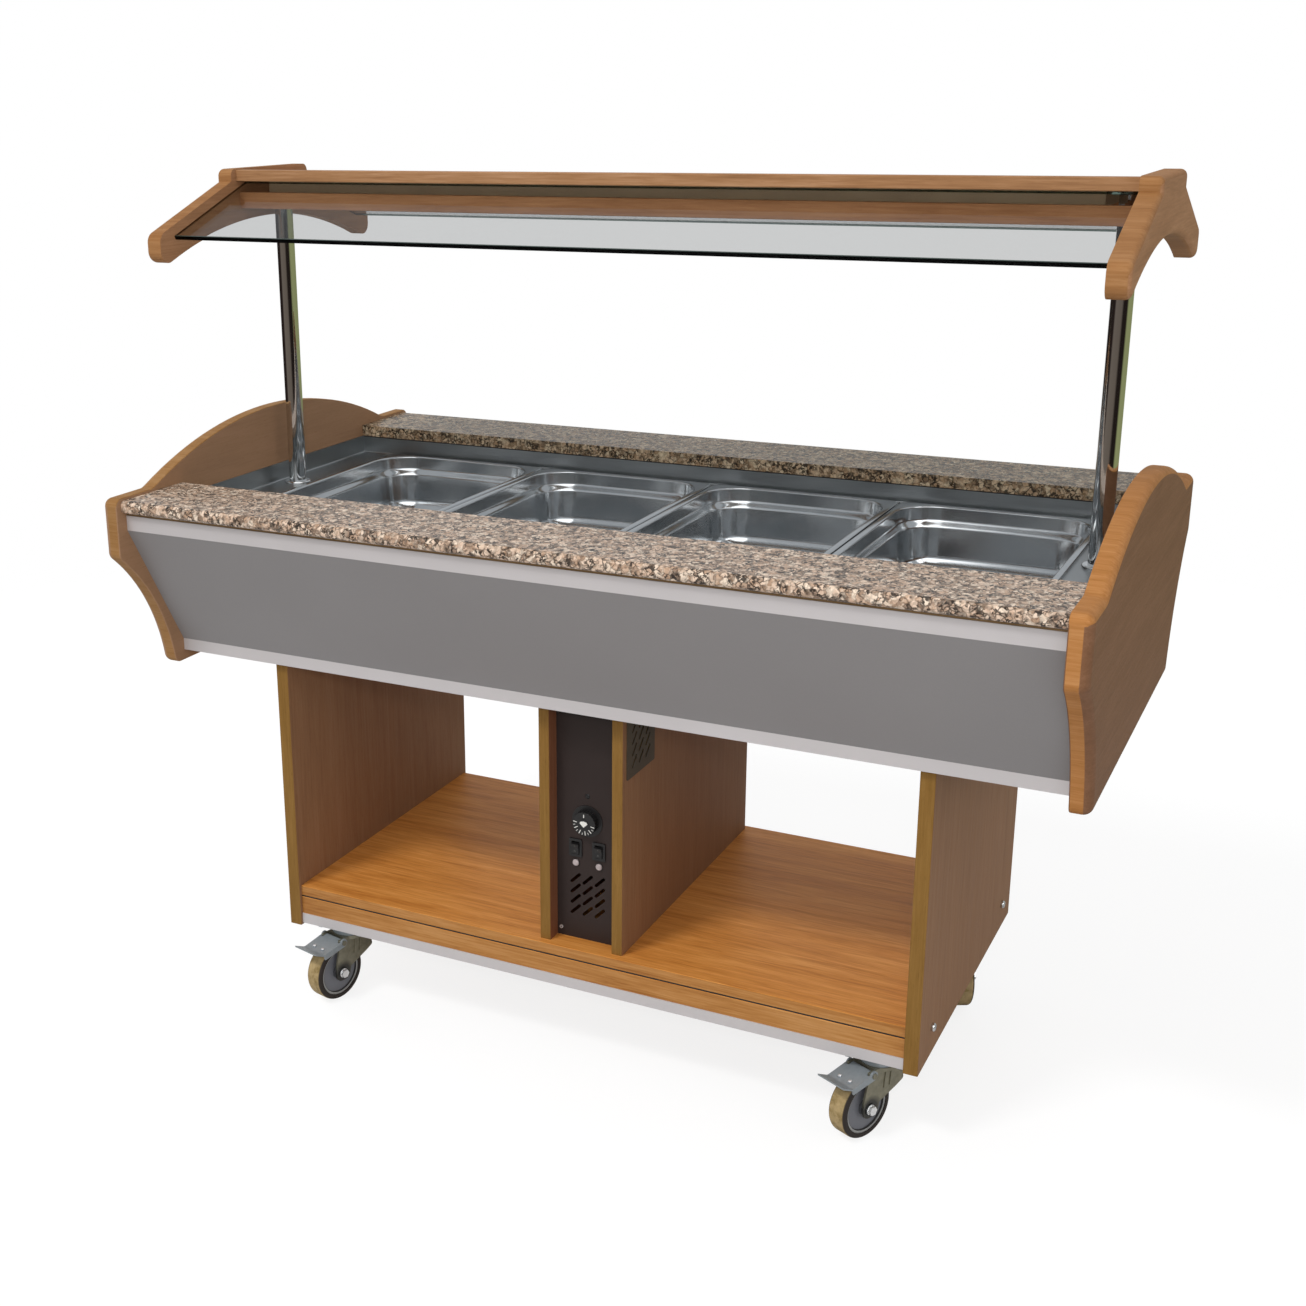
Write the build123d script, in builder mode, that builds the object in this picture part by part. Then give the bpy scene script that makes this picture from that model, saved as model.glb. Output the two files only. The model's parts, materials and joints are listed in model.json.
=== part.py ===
from build123d import *
import math
import os

# Hot buffet counter on castors, in millimetres.
# X runs along the counter, Y from the front (negative) to the rear, Z is up.
# The origin is on the floor, under the middle of the counter.

os.makedirs("parts", exist_ok=True)

# Food pans: four full-size pans stand side by side across the well.
pan_count = 4
pan_width = 324.0
pan_length = 530.0
pan_depth = 100.0
pan_rim = 11.0
pan_rim_rise = 6.0
pan_rim_round = 2.0
pan_lip_round = 2.5
pan_sheet = 1.2
pan_corner = 62.0
pan_rim_corner = 16.0
pan_shoulder_depth = 32.0
pan_shoulder_step = 3.0
pan_draft = 6.0
pan_floor_round = 16.0
pan_gap = 3.0
pan_seat = 8.0

# Well: deck, upstand and water basin of stainless sheet.
end_deck = 71.0
deck_margin = 12.0
upstand_height = 32.0
well_fold = 3.0
basin_depth = 150.0
basin_corner = 24.0
well_sheet = 1.5
bar_width = 18.0
bar_height = 14.0
fit_gap = 0.3

# Stone shelves and the rails that carry them.
granite_depth = 154.0
granite_thickness = 20.0
granite_round = 8.0
granite_setback = 10.0
granite_overhang = 12.0
granite_lap = 1.0
bearer_thickness = 27.5

# Tub: shaped end panels, floor and sloping valances.
end_panel_thickness = 30.0
end_panel_round = 14.0
end_panel_corner = 14.0
end_panel_inner_round = 2.0
end_panel_lip = 5.0
end_panel_edge_height = 96.0
end_panel_drop = 18.0
end_panel_flare = 22.0
end_panel_sweep = 330.0
bump_rise = 80.0
bump_radius = 800.0
bump_root = 34.0
tub_floor_thickness = 20.0
valance_rise = 213.0
valance_run = 118.0
valance_thickness = 14.0
trim_sheet = 1.5
top_trim_height = 24.0

# Base: legs, shelf, plinth and control column.
base_overhang = 210.0
leg_thickness = 22.0
leg_setback = 10.0
leg_drop = 3.0
shelf_setback = 6.0
shelf_thickness = 18.0
plinth_height = 51.0
plinth_thickness = 18.0
plinth_reveal = 2.0
plinth_trim_height = 18.0
castor_bearer_width = 120.0
bay_height = 401.0
board_edge_round = 1.5
leg_bolt_diameter = 8.0
leg_bolt_grip = 40.0
leg_bolt_spread = 444.0
leg_bolt_drop = 8.0
leg_cap_diameter = 13.0
leg_cap_height = 6.0
column_width = 142.0
column_thickness = 18.0
column_setback = 12.0

# Control panel and what it carries. Heights are above the bottom shelf.
panel_sheet = 1.5
panel_setback = 26.0
panel_flange = 22.0
thermostat_height = 205.0
thermostat_body_width = 38.0
thermostat_body_depth = 34.0
thermostat_shaft = 6.0
bezel_diameter = 52.0
bezel_thickness = 1.5
knob_diameter = 39.0
knob_drum = 12.0
knob_bore_depth = 8.0
knob_boss_diameter = 16.0
knob_boss_height = 0.8
knob_flutes = 24
knob_flute_radius = 1.6
switch_height = 157.0
switch_pitch = 40.0
switch_width = 22.0
switch_tall = 30.0
switch_frame = 2.5
switch_lip = 2.0
switch_body_depth = 24.0
rocker_tilt = 8.0
rocker_rise = 2.0
rocker_room = 12.0
pilot_height = 131.0
pilot_diameter = 11.0
pilot_body_diameter = 8.0
pilot_body_length = 18.0
vent_height = 77.0
vent_columns = 3
vent_rows = 4
vent_pitch_x = 21.0
vent_pitch_z = 18.0
vent_length = 24.0
vent_width = 5.0
screw_inset = 7.0
screw_head_diameter = 6.0
screw_head_height = 1.6
screw_shank_diameter = 3.0
screw_length = 12.0
cleat_width = 14.0
cleat_depth = 18.0
grille_width = 104.0
grille_tall = 104.0
grille_margin = 14.0
grille_top_gap = 8.0
gland_height = 40.0
gland_thread_diameter = 20.0
gland_hex_width = 24.0
gland_length = 16.0

# Drain: pipe from the basin, ball valve, spout and lever.
drain_y = 150.0
drain_pipe_diameter = 26.0
drain_wall = 2.5
drain_collar_diameter = 44.0
drain_collar_height = 8.0
valve_height = 195.0
valve_width = 40.0
valve_tall = 54.0
valve_stem_diameter = 10.0
spout_height = 105.0
spout_bend = 34.0
spout_diameter = 22.0
lever_length = 82.0
lever_width = 17.0
lever_thickness = 4.0
lever_gap = 5.0

# Heating element in the basin.
element_diameter = 8.5
element_lift = 14.0
element_inset_x = 70.0
element_inset_y = 90.0
element_bend = 60.0
element_bar_width = 12.0
element_bar_spread = 700.0

# Canopy: posts, brackets, board, fascias, glass and lamp.
canopy_inset = 14.0
canopy_top = 1372.0
post_diameter = 30.0
post_wall = 1.5
post_standoff = 10.0
post_spacer_diameter = 18.0
post_flange_diameter = 46.0
post_flange_height = 5.0
bracket_thickness = 30.0
bracket_round = 9.0
bracket_half_length = 302.0
bracket_top_half = 110.0
bracket_shoulder = 20.0
bracket_arm_drop = 72.0
bracket_tip_round = 18.0
bracket_top_round = 12.0
bracket_arch_radius = 760.0
bracket_arch_drop = 82.0
canopy_strip_height = 18.0
canopy_strip_depth = 18.0
canopy_roof_thickness = 6.0
canopy_board_half_depth = 97.0
canopy_board_sink = 2.0
fascia_thickness = 18.0
fascia_height = 26.0
fascia_setback = 10.0
fascia_gap = 21.0
glass_thickness = 6.0
glass_below_arm = 16.0
glass_setback = 36.0
glass_reach = 34.0
glass_groove_depth = 8.0
glass_seat = 0.4
lamp_end_gap = 6.0
lamp_height = 24.0
lamp_diffuser_inset = 20.0
lamp_diffuser_drop = 6.0
post_screw_drop = 30.0
post_screw_grip = 14.0
post_screw_diameter = 5.0
post_screw_head = 9.0

# Castors: swivel plate, fork, wheel, tyre and brake pedal.
castor_height = 128.0
castor_inset_left = 88.0
castor_inset_right = 70.0
castor_inset_front = 41.5
castor_inset_rear = 79.0
castor_plate_x = 95.0
castor_plate_y = 70.0
castor_plate_thickness = 3.0
plate_bolt_width = 11.0
plate_bolt_height = 5.0
plate_bolt_inset = 9.0
castor_trail = 38.0
front_left_yaw = 14.0
front_right_yaw = 26.0
rear_left_yaw = -62.0
rear_right_yaw = -28.0
wheel_diameter = 100.0
wheel_width = 32.0
tyre_thickness = 9.0
hub_bore_gap = 0.1
hub_boss_radius = 13.0
hub_web_half = 11.0
hub_lip = 4.0
axle_diameter = 8.0
axle_head_width = 13.0
axle_head_height = 5.5
axle_washer_diameter = 20.0
axle_washer_height = 1.5
fork_side_gap = 2.5
fork_sheet = 3.5
fork_crown_radius = 30.0
fork_crown_thickness = 6.0
fork_foot_radius = 14.0
fork_tail_reach = 36.0
fork_tail_rise = 30.0
fork_tail_round = 8.0
fork_flank_reach = 18.0
fork_flank_rise = 21.0
fork_leg_taper = 5.0
fork_leg_rise = 6.0
fork_rib_width = 6.0
fork_rib_height = 1.5
race_height = 12.4
race_diameter = 58.0
race_gap = 0.4
kingpin_diameter = 12.0
kingpin_head_diameter = 22.0
kingpin_head_height = 4.0
pedal_pin_diameter = 5.0
pedal_pin_reach = 36.0
pedal_pin_drop = 6.0
pedal_pin_head = 9.0
pedal_pin_head_height = 1.5
pedal_slope = 12.0
pedal_length = 45.0
pedal_sheet = 3.0
pedal_flange = 7.0
pedal_bend = 8.0
pedal_lip_run = 18.5
pedal_lip_rise = 14.0
pedal_rivet_diameter = 6.0
pedal_rivet_height = 1.5
pedal_rivet_spread = 20.0
pedal_rivet_inset = 9.0
pedal_hub_radius = 4.2
pedal_travel = 10.0
shoe_length = 12.0

# Places worked out from the sizes above.
pan_pitch = pan_width + pan_gap
row_half = pan_count * pan_pitch / 2
inner_x = row_half + end_deck
outer_x = inner_x + end_panel_thickness
well_half_y = pan_length / 2 + deck_margin
tank_half_y = well_half_y + well_sheet
granite_inner_y = well_half_y - granite_lap
granite_front_y = granite_inner_y + granite_depth
panel_half_y = granite_front_y + granite_setback
valance_top_y = granite_front_y - granite_overhang
valance_foot_y = valance_top_y - valance_run
leg_half_y = valance_foot_y - leg_setback
shelf_half_y = leg_half_y - shelf_setback
leg_outer_x = outer_x - base_overhang
leg_inner_x = leg_outer_x - leg_thickness
column_half_x = column_width / 2
column_inner_x = column_half_x - column_thickness
column_half_y = shelf_half_y - column_setback
panel_y = column_half_y - panel_setback

plinth_z = castor_height
shelf_z = plinth_z + plinth_height
shelf_top = shelf_z + shelf_thickness
tub_floor_z = shelf_top + bay_height
tub_floor_top = tub_floor_z + tub_floor_thickness
bearer_z = tub_floor_top + valance_rise
bearer_top = bearer_z + bearer_thickness
granite_z = bearer_top + well_sheet
granite_top = granite_z + granite_thickness
deck_top = granite_z - upstand_height
basin_floor = deck_top - basin_depth
basin_half_x = row_half - pan_seat
basin_half_y = pan_length / 2 - pan_seat
panel_flat_z = granite_top + end_panel_lip
panel_shoulder_z = panel_flat_z - end_panel_edge_height
panel_bottom_z = tub_floor_z - end_panel_drop
panel_bottom_y = valance_foot_y + end_panel_flare

bracket_inner_x = inner_x - canopy_inset
bracket_outer_x = bracket_inner_x + bracket_thickness
post_radius = post_diameter / 2
post_x = bracket_inner_x - post_standoff - post_radius
board_top = canopy_top - canopy_board_sink
board_z = board_top - canopy_strip_height
arm_top_z = canopy_top - bracket_shoulder
arm_tip_z = arm_top_z - bracket_arm_drop
arm_run = bracket_half_length - bracket_top_half
arm_angle = math.degrees(math.atan2(bracket_arm_drop, arm_run))
arch_apex_z = canopy_top - bracket_arch_drop
fascia_y = canopy_board_half_depth - fascia_setback
fascia_top = board_z - fascia_gap

SIT = (Align.CENTER, Align.CENTER, Align.MIN)
HANG = (Align.CENTER, Align.CENTER, Align.MAX)


def write_piece(piece, label):
    """Label a finished piece and write it as its own file."""
    piece.label = label
    export_step(piece, f"parts/{label}.step")


# Base shelf: one board between the legs, with eased long edges.
with BuildPart() as base_shelf:
    with Locations((0, 0, shelf_z)):
        Box(2 * leg_inner_x, 2 * shelf_half_y, shelf_thickness, align=SIT)
    fillet(base_shelf.edges().filter_by(Axis.X), board_edge_round)
write_piece(base_shelf.part, "base_shelf")

# Plinth: front and rear fascia boards, and two bearers that the castors screw into.
fascia_board_z = plinth_z + trim_sheet
fascia_board_height = shelf_z - plinth_reveal - fascia_board_z
castor_bearer_x = leg_inner_x - castor_bearer_width / 2
castor_bearer_length = 2 * (shelf_half_y - plinth_thickness)
leg_bolt_y = leg_bolt_spread / 2
leg_bolt_z = shelf_z - leg_bolt_drop
leg_bolt_depth = leg_thickness + leg_bolt_grip
with BuildPart() as plinth_fascias:
    with Locations(
        (0, plinth_thickness / 2 - shelf_half_y, fascia_board_z),
        (0, shelf_half_y - plinth_thickness / 2, fascia_board_z),
    ):
        Box(2 * leg_inner_x, plinth_thickness, fascia_board_height, align=SIT)
    fillet(plinth_fascias.edges().filter_by(Axis.X), board_edge_round)
with BuildPart() as castor_bearers:
    with Locations((-castor_bearer_x, 0, plinth_z), (castor_bearer_x, 0, plinth_z)):
        Box(castor_bearer_width, castor_bearer_length, plinth_height, align=SIT)
    for side in (-1, 1):
        with BuildSketch(Plane.YZ.offset(side * leg_outer_x)):
            with Locations((-leg_bolt_y, leg_bolt_z), (leg_bolt_y, leg_bolt_z)):
                Circle(leg_bolt_diameter / 2)
        extrude(amount=-side * leg_bolt_depth, mode=Mode.SUBTRACT)
plinth_rails = Compound(children=[plinth_fascias.part, castor_bearers.part])
write_piece(plinth_rails, "plinth_rails")

# Leg panels: full-depth boards from just under the plinth to the tub floor.
leg_z = plinth_z - leg_drop
leg_mid_x = leg_outer_x - leg_thickness / 2
for side, name in ((-1, "leg_panel_left"), (1, "leg_panel_right")):
    with BuildPart() as leg_panel:
        with Locations((side * leg_mid_x, 0, leg_z)):
            Box(leg_thickness, 2 * leg_half_y, tub_floor_z - leg_z, align=SIT)
        fillet(leg_panel.edges().filter_by(Axis.Z), board_edge_round)
        with BuildSketch(Plane.YZ.offset(side * leg_outer_x)):
            with Locations((-leg_bolt_y, leg_bolt_z), (leg_bolt_y, leg_bolt_z)):
                Circle(leg_bolt_diameter / 2)
        extrude(amount=-side * leg_thickness, mode=Mode.SUBTRACT)
    write_piece(leg_panel.part, name)

# Leg bolts: domed caps outside, shanks through the legs into the bearers.
with BuildPart() as leg_bolts:
    for side in (-1, 1):
        with BuildSketch(Plane.YZ.offset(side * leg_outer_x)):
            with Locations((-leg_bolt_y, leg_bolt_z), (leg_bolt_y, leg_bolt_z)):
                Circle(leg_bolt_diameter / 2)
        extrude(amount=-side * leg_bolt_depth)
        with BuildSketch(Plane.YZ.offset(side * leg_outer_x)):
            with Locations((-leg_bolt_y, leg_bolt_z), (leg_bolt_y, leg_bolt_z)):
                Circle(leg_cap_diameter / 2)
        extrude(amount=side * leg_cap_height)
        rims = leg_bolts.edges().filter_by(GeomType.CIRCLE).group_by(Axis.X)
        fillet(rims[-1] if side > 0 else rims[0], leg_cap_height / 2)
write_piece(leg_bolts.part, "leg_bolts")

# Control column: two upright panels. The right one has a window behind its grille.
column_mid_x = column_half_x - column_thickness / 2
grille_y = -column_half_y + grille_margin + grille_width / 2
grille_z = tub_floor_z - grille_top_gap - grille_tall / 2
window_width = grille_width - 2 * grille_margin
window_tall = grille_tall - 2 * grille_margin
for side, name in ((-1, "column_panel_left"), (1, "column_panel_right")):
    with BuildPart() as column_panel:
        with Locations((side * column_mid_x, 0, shelf_top)):
            Box(column_thickness, 2 * column_half_y, bay_height, align=SIT)
        fillet(column_panel.edges().filter_by(Axis.Z), board_edge_round)
        if side > 0:
            with Locations((column_mid_x, grille_y, grille_z)):
                Box(column_thickness, window_width, window_tall, mode=Mode.SUBTRACT)
    write_piece(column_panel.part, name)

# Side grille: a thin plate with slanted slots over the window.
slot_step = window_width / vent_columns
slot_step_z = window_tall / vent_rows
slot_span = min(vent_length, slot_step)
with BuildPart() as side_grille:
    with BuildSketch(Plane.YZ.offset(column_half_x)):
        with Locations((grille_y, grille_z)):
            RectangleRounded(grille_width, grille_tall, 2 * panel_sheet)
        with Locations((grille_y, grille_z)):
            with GridLocations(slot_step, slot_step_z, vent_columns, vent_rows):
                SlotOverall(slot_span, vent_width, rotation=45, mode=Mode.SUBTRACT)
    extrude(amount=panel_sheet)
write_piece(side_grille.part, "side_grille")

# Control panel: a folded sheet with its flanges along the column's inner faces.
thermostat_z = shelf_top + thermostat_height
switch_z = shelf_top + switch_height
pilot_z = shelf_top + pilot_height
vent_z = shelf_top + vent_height
switch_x = switch_pitch / 2
switch_hole_width = switch_width - 2 * switch_frame
switch_hole_tall = switch_tall - 2 * switch_frame
screw_x = column_inner_x - screw_inset
screw_low_z = shelf_top + 2 * screw_inset
screw_high_z = tub_floor_z - 2 * screw_inset
panel_front = Plane((0, -panel_y, 0), x_dir=(1, 0, 0), z_dir=(0, -1, 0))
with BuildPart() as control_panel:
    with Locations((0, -panel_y, shelf_top)):
        Box(
            2 * column_inner_x,
            panel_flange,
            bay_height,
            align=(Align.CENTER, Align.MIN, Align.MIN),
        )
    with Locations((0, panel_sheet - panel_y, shelf_top)):
        Box(
            2 * (column_inner_x - panel_sheet),
            panel_flange,
            bay_height,
            align=(Align.CENTER, Align.MIN, Align.MIN),
            mode=Mode.SUBTRACT,
        )
    with BuildSketch(panel_front):
        with Locations((0, thermostat_z)):
            Circle(thermostat_shaft)
        with Locations((-switch_x, switch_z), (switch_x, switch_z)):
            Rectangle(switch_hole_width, switch_hole_tall)
        with Locations((-switch_x, pilot_z), (switch_x, pilot_z)):
            Circle(pilot_body_diameter / 2)
        with Locations((0, vent_z)):
            with GridLocations(vent_pitch_x, vent_pitch_z, vent_columns, vent_rows):
                SlotOverall(vent_length, vent_width, rotation=45)
        with Locations(
            (-screw_x, screw_low_z),
            (screw_x, screw_low_z),
            (-screw_x, screw_high_z),
            (screw_x, screw_high_z),
        ):
            Circle(screw_shank_diameter / 2)
    extrude(amount=-panel_sheet, mode=Mode.SUBTRACT)
write_piece(control_panel.part, "control_panel")

# Column back panel: the same folded sheet, with openings for gland, spout and stem.
gland_z = shelf_top + gland_height
spout_z = shelf_top + spout_height
valve_z = shelf_top + valve_height
panel_rear = Plane((0, panel_y, 0), x_dir=(-1, 0, 0), z_dir=(0, 1, 0))
back_vent_z = (valve_z + tub_floor_z) / 2 + vent_rows * vent_pitch_z / 2
with BuildPart() as column_back_panel:
    with Locations((0, panel_y, shelf_top)):
        Box(
            2 * column_inner_x,
            panel_flange,
            bay_height,
            align=(Align.CENTER, Align.MAX, Align.MIN),
        )
    with Locations((0, panel_y - panel_sheet, shelf_top)):
        Box(
            2 * (column_inner_x - panel_sheet),
            panel_flange,
            bay_height,
            align=(Align.CENTER, Align.MAX, Align.MIN),
            mode=Mode.SUBTRACT,
        )
    with BuildSketch(panel_rear):
        with Locations((0, gland_z)):
            Circle(gland_thread_diameter / 2)
        with Locations((0, spout_z)):
            Circle(spout_diameter / 2 + fit_gap)
        with Locations((0, valve_z)):
            Circle(valve_stem_diameter / 2 + fit_gap)
        with Locations((0, back_vent_z)):
            with GridLocations(vent_pitch_x, vent_pitch_z, vent_columns, vent_rows):
                SlotOverall(vent_length, vent_width, rotation=45)
        with Locations(
            (-screw_x, screw_low_z),
            (screw_x, screw_low_z),
            (-screw_x, screw_high_z),
            (screw_x, screw_high_z),
        ):
            Circle(screw_shank_diameter / 2)
    extrude(amount=-panel_sheet, mode=Mode.SUBTRACT)
write_piece(column_back_panel.part, "column_back_panel")

# Thermostat: body behind the panel, shaft through it and a bezel ring on the front.
with BuildPart() as thermostat:
    with BuildSketch(panel_front.offset(-panel_sheet)):
        with Locations((0, thermostat_z)):
            RectangleRounded(thermostat_body_width, thermostat_body_width, 2 * panel_sheet)
    extrude(amount=-thermostat_body_depth)
    with BuildSketch(panel_front.offset(-panel_sheet)):
        with Locations((0, thermostat_z)):
            Circle(thermostat_shaft)
    extrude(amount=panel_sheet + bezel_thickness)
    with BuildSketch(panel_front):
        with Locations((0, thermostat_z)):
            Circle(bezel_diameter / 2)
    extrude(amount=bezel_thickness)
    with BuildSketch(panel_front):
        with Locations((0, thermostat_z)):
            Circle(thermostat_shaft / 2)
    extrude(amount=bezel_thickness + knob_bore_depth)
write_piece(thermostat.part, "thermostat_body")

# Thermostat knob: a fluted drum with a low boss on its flat face, bored for the shaft.
knob_base = panel_front.offset(bezel_thickness + fit_gap)
with BuildPart() as thermostat_knob:
    with BuildSketch(knob_base):
        with Locations((0, thermostat_z)):
            Circle(knob_diameter / 2)
    extrude(amount=knob_drum)
    fillet(thermostat_knob.faces().sort_by(Axis.Y)[0].edges(), knob_flute_radius / 2)
    with BuildSketch(knob_base):
        with Locations((0, thermostat_z)):
            with PolarLocations(knob_diameter / 2 + knob_flute_radius / 2, knob_flutes):
                Circle(knob_flute_radius)
    extrude(amount=knob_drum, mode=Mode.SUBTRACT)
    with BuildSketch(knob_base.offset(knob_drum)):
        with Locations((0, thermostat_z)):
            Circle(knob_boss_diameter / 2)
    extrude(amount=knob_boss_height)
    fillet(thermostat_knob.faces().sort_by(Axis.Y)[0].edges(), knob_boss_height / 2)
    with BuildSketch(knob_base):
        with Locations((0, thermostat_z)):
            Circle(thermostat_shaft / 2 + hub_bore_gap)
    extrude(amount=knob_bore_depth, mode=Mode.SUBTRACT)
write_piece(thermostat_knob.part, "thermostat_knob")

# Switch housings: a bezel on the panel and a body behind it, open at the front.
switch_places = ((-switch_x, switch_z), (switch_x, switch_z))
rocker_width = switch_hole_width - 2 * switch_lip
rocker_tall = switch_hole_tall - 2 * switch_lip
with BuildPart() as switch_housings:
    with BuildSketch(panel_front):
        with Locations(switch_places):
            RectangleRounded(switch_width, switch_tall, switch_lip)
    extrude(amount=switch_frame)
    with BuildSketch(panel_front):
        with Locations(switch_places):
            Rectangle(switch_hole_width, switch_hole_tall)
    extrude(amount=-switch_body_depth)
    with BuildSketch(panel_front.offset(switch_frame)):
        with Locations(switch_places):
            Rectangle(rocker_width + 2 * fit_gap, rocker_tall + 2 * fit_gap)
    extrude(amount=-rocker_room, mode=Mode.SUBTRACT)
write_piece(switch_housings.part, "switch_housings")

# Rockers: a shallow V of two faces that meet over the pivot, stored tilted to off.
# The pivot lies at the panel's front face. The tilt leaves the lower half pressed in.
rocker_half = rocker_tall / 2
rocker_face = switch_frame + rocker_rise
rocker_fall = rocker_half * math.tan(math.radians(rocker_tilt))
rocker_keel = rocker_half * 0.55
tilt = math.radians(rocker_tilt)
for side, name in ((-1, "rocker_heat"), (1, "rocker_light")):
    rocker_side = Plane(
        (side * switch_x - rocker_width / 2, -panel_y, switch_z),
        x_dir=(0, -math.cos(tilt), -math.sin(tilt)),
        z_dir=(-1, 0, 0),
    )
    with BuildPart() as rocker:
        with BuildSketch(rocker_side):
            with BuildLine():
                Polyline(
                    (rocker_face, 0),
                    (rocker_face + rocker_fall, rocker_half - rocker_rise),
                    (0, rocker_half - rocker_rise),
                    (-rocker_keel, 0),
                    (0, rocker_rise - rocker_half),
                    (rocker_face + rocker_fall, rocker_rise - rocker_half),
                    close=True,
                )
            make_face()
        extrude(amount=-rocker_width)
    write_piece(rocker.part, name)

# Pilot lamps: a domed lens on the panel with its body behind.
pilot_places = ((-switch_x, pilot_z), (switch_x, pilot_z))
with BuildPart() as pilot_lamps:
    with BuildSketch(panel_front):
        with Locations(pilot_places):
            Circle(pilot_body_diameter / 2)
    extrude(amount=-pilot_body_length)
    with BuildSketch(panel_front):
        with Locations(pilot_places):
            Circle(pilot_diameter / 2)
    extrude(amount=pilot_diameter / 3)
    fillet(
        pilot_lamps.edges().filter_by(GeomType.CIRCLE).group_by(Axis.Y)[0],
        pilot_diameter / 4,
    )
write_piece(pilot_lamps.part, "pilot_lamps")

# Cable gland in the back panel: threaded barrel, hexagon and domed nut, with its bore.
gland_bore = gland_thread_diameter / 4
with BuildPart() as cable_gland:
    with BuildSketch(panel_rear.offset(-panel_sheet)):
        with Locations((0, gland_z)):
            Circle(gland_thread_diameter / 2)
    extrude(amount=panel_sheet)
    with BuildSketch(panel_rear):
        with Locations((0, gland_z)):
            RegularPolygon(gland_hex_width / 2, 6, major_radius=False)
    extrude(amount=gland_length / 2)
    with BuildSketch(panel_rear.offset(gland_length / 2)):
        with Locations((0, gland_z)):
            Circle(gland_thread_diameter / 2)
    extrude(amount=gland_length / 2, taper=20)
    with BuildSketch(panel_rear.offset(-panel_sheet)):
        with Locations((0, gland_z)):
            RegularPolygon(gland_hex_width / 2, 6, major_radius=False)
    extrude(amount=-gland_length / 3)
    with BuildSketch(panel_rear.offset(gland_length)):
        with Locations((0, gland_z)):
            Circle(gland_bore)
    extrude(amount=-2 * gland_length, mode=Mode.SUBTRACT)
write_piece(cable_gland.part, "cable_gland")

# Tub floor: the board that stands on the legs and closes the tub below.
tub_floor_half_y = valance_foot_y - trim_sheet
with BuildPart() as tub_floor:
    with Locations((0, 0, tub_floor_z)):
        Box(2 * inner_x, 2 * tub_floor_half_y, tub_floor_thickness, align=SIT)
    with Locations((0, drain_y, tub_floor_z)):
        Cylinder(
            drain_pipe_diameter / 2 + fit_gap,
            tub_floor_thickness,
            align=SIT,
            mode=Mode.SUBTRACT,
        )
write_piece(tub_floor.part, "tub_floor")

# End panels: a flared board with an arched top, rounded all round on the outside.
bump_half = math.sqrt(bump_radius**2 - (bump_radius - bump_rise) ** 2)
root_zone = bump_half + fit_gap
for side, name in ((-1, "end_panel_left"), (1, "end_panel_right")):
    with BuildPart() as end_panel:
        with BuildSketch(Plane.YZ.offset(side * inner_x)) as end_outline:
            with BuildLine():
                Line((-panel_bottom_y, panel_bottom_z), (panel_bottom_y, panel_bottom_z))
                RadiusArc(
                    (panel_bottom_y, panel_bottom_z),
                    (panel_half_y, panel_shoulder_z),
                    end_panel_sweep,
                )
                Line((panel_half_y, panel_shoulder_z), (panel_half_y, panel_flat_z))
                Line((panel_half_y, panel_flat_z), (bump_half, panel_flat_z))
                ThreePointArc(
                    (bump_half, panel_flat_z),
                    (0, panel_flat_z + bump_rise),
                    (-bump_half, panel_flat_z),
                )
                Line((-bump_half, panel_flat_z), (-panel_half_y, panel_flat_z))
                Line((-panel_half_y, panel_flat_z), (-panel_half_y, panel_shoulder_z))
                RadiusArc(
                    (-panel_half_y, panel_shoulder_z),
                    (-panel_bottom_y, panel_bottom_z),
                    end_panel_sweep,
                )
            make_face()
            corners = end_outline.vertices()
            roots = corners.filter_by_position(Axis.X, -root_zone, root_zone)
            roots = roots.filter_by_position(Axis.Y, panel_flat_z - fit_gap, panel_flat_z + fit_gap)
            fillet([v for v in corners if v not in roots], end_panel_corner)
            corners = end_outline.vertices()
            roots = corners.filter_by_position(Axis.X, -root_zone, root_zone)
            roots = roots.filter_by_position(Axis.Y, panel_flat_z - fit_gap, panel_flat_z + fit_gap)
            fillet(roots, bump_root)
        extrude(amount=side * end_panel_thickness)
        faces = end_panel.faces().sort_by(Axis.X)
        outside = faces[-1] if side > 0 else faces[0]
        fillet(outside.edges(), end_panel_round)
        faces = end_panel.faces().sort_by(Axis.X)
        inside = faces[0] if side > 0 else faces[-1]
        fillet(inside.edges(), end_panel_inner_round)
    write_piece(end_panel.part, name)

# Valances: sloping panels from the tub floor up to the granite bearers.
for side, name in ((-1, "valance_front"), (1, "valance_rear")):
    foot = side * valance_foot_y
    head = side * valance_top_y
    back = -side * valance_thickness
    with BuildPart() as valance:
        with BuildSketch(Plane.YZ.offset(-inner_x)):
            with BuildLine():
                Polyline(
                    (foot, tub_floor_top),
                    (head, bearer_z),
                    (head + back, bearer_z),
                    (foot + back, tub_floor_top),
                    close=True,
                )
            make_face()
        extrude(amount=2 * inner_x)
    write_piece(valance.part, name)

# Granite bearers: rails along the tub that carry the stone and the well's flanges.
bearer_front_y = valance_top_y - trim_sheet
bearer_depth = bearer_front_y - tank_half_y - fit_gap
bearer_mid_y = bearer_front_y - bearer_depth / 2
with BuildPart() as granite_bearers:
    with Locations((0, -bearer_mid_y, bearer_z), (0, bearer_mid_y, bearer_z)):
        Box(2 * inner_x, bearer_depth, bearer_thickness, align=SIT)
write_piece(granite_bearers.part, "granite_bearers")

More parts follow.
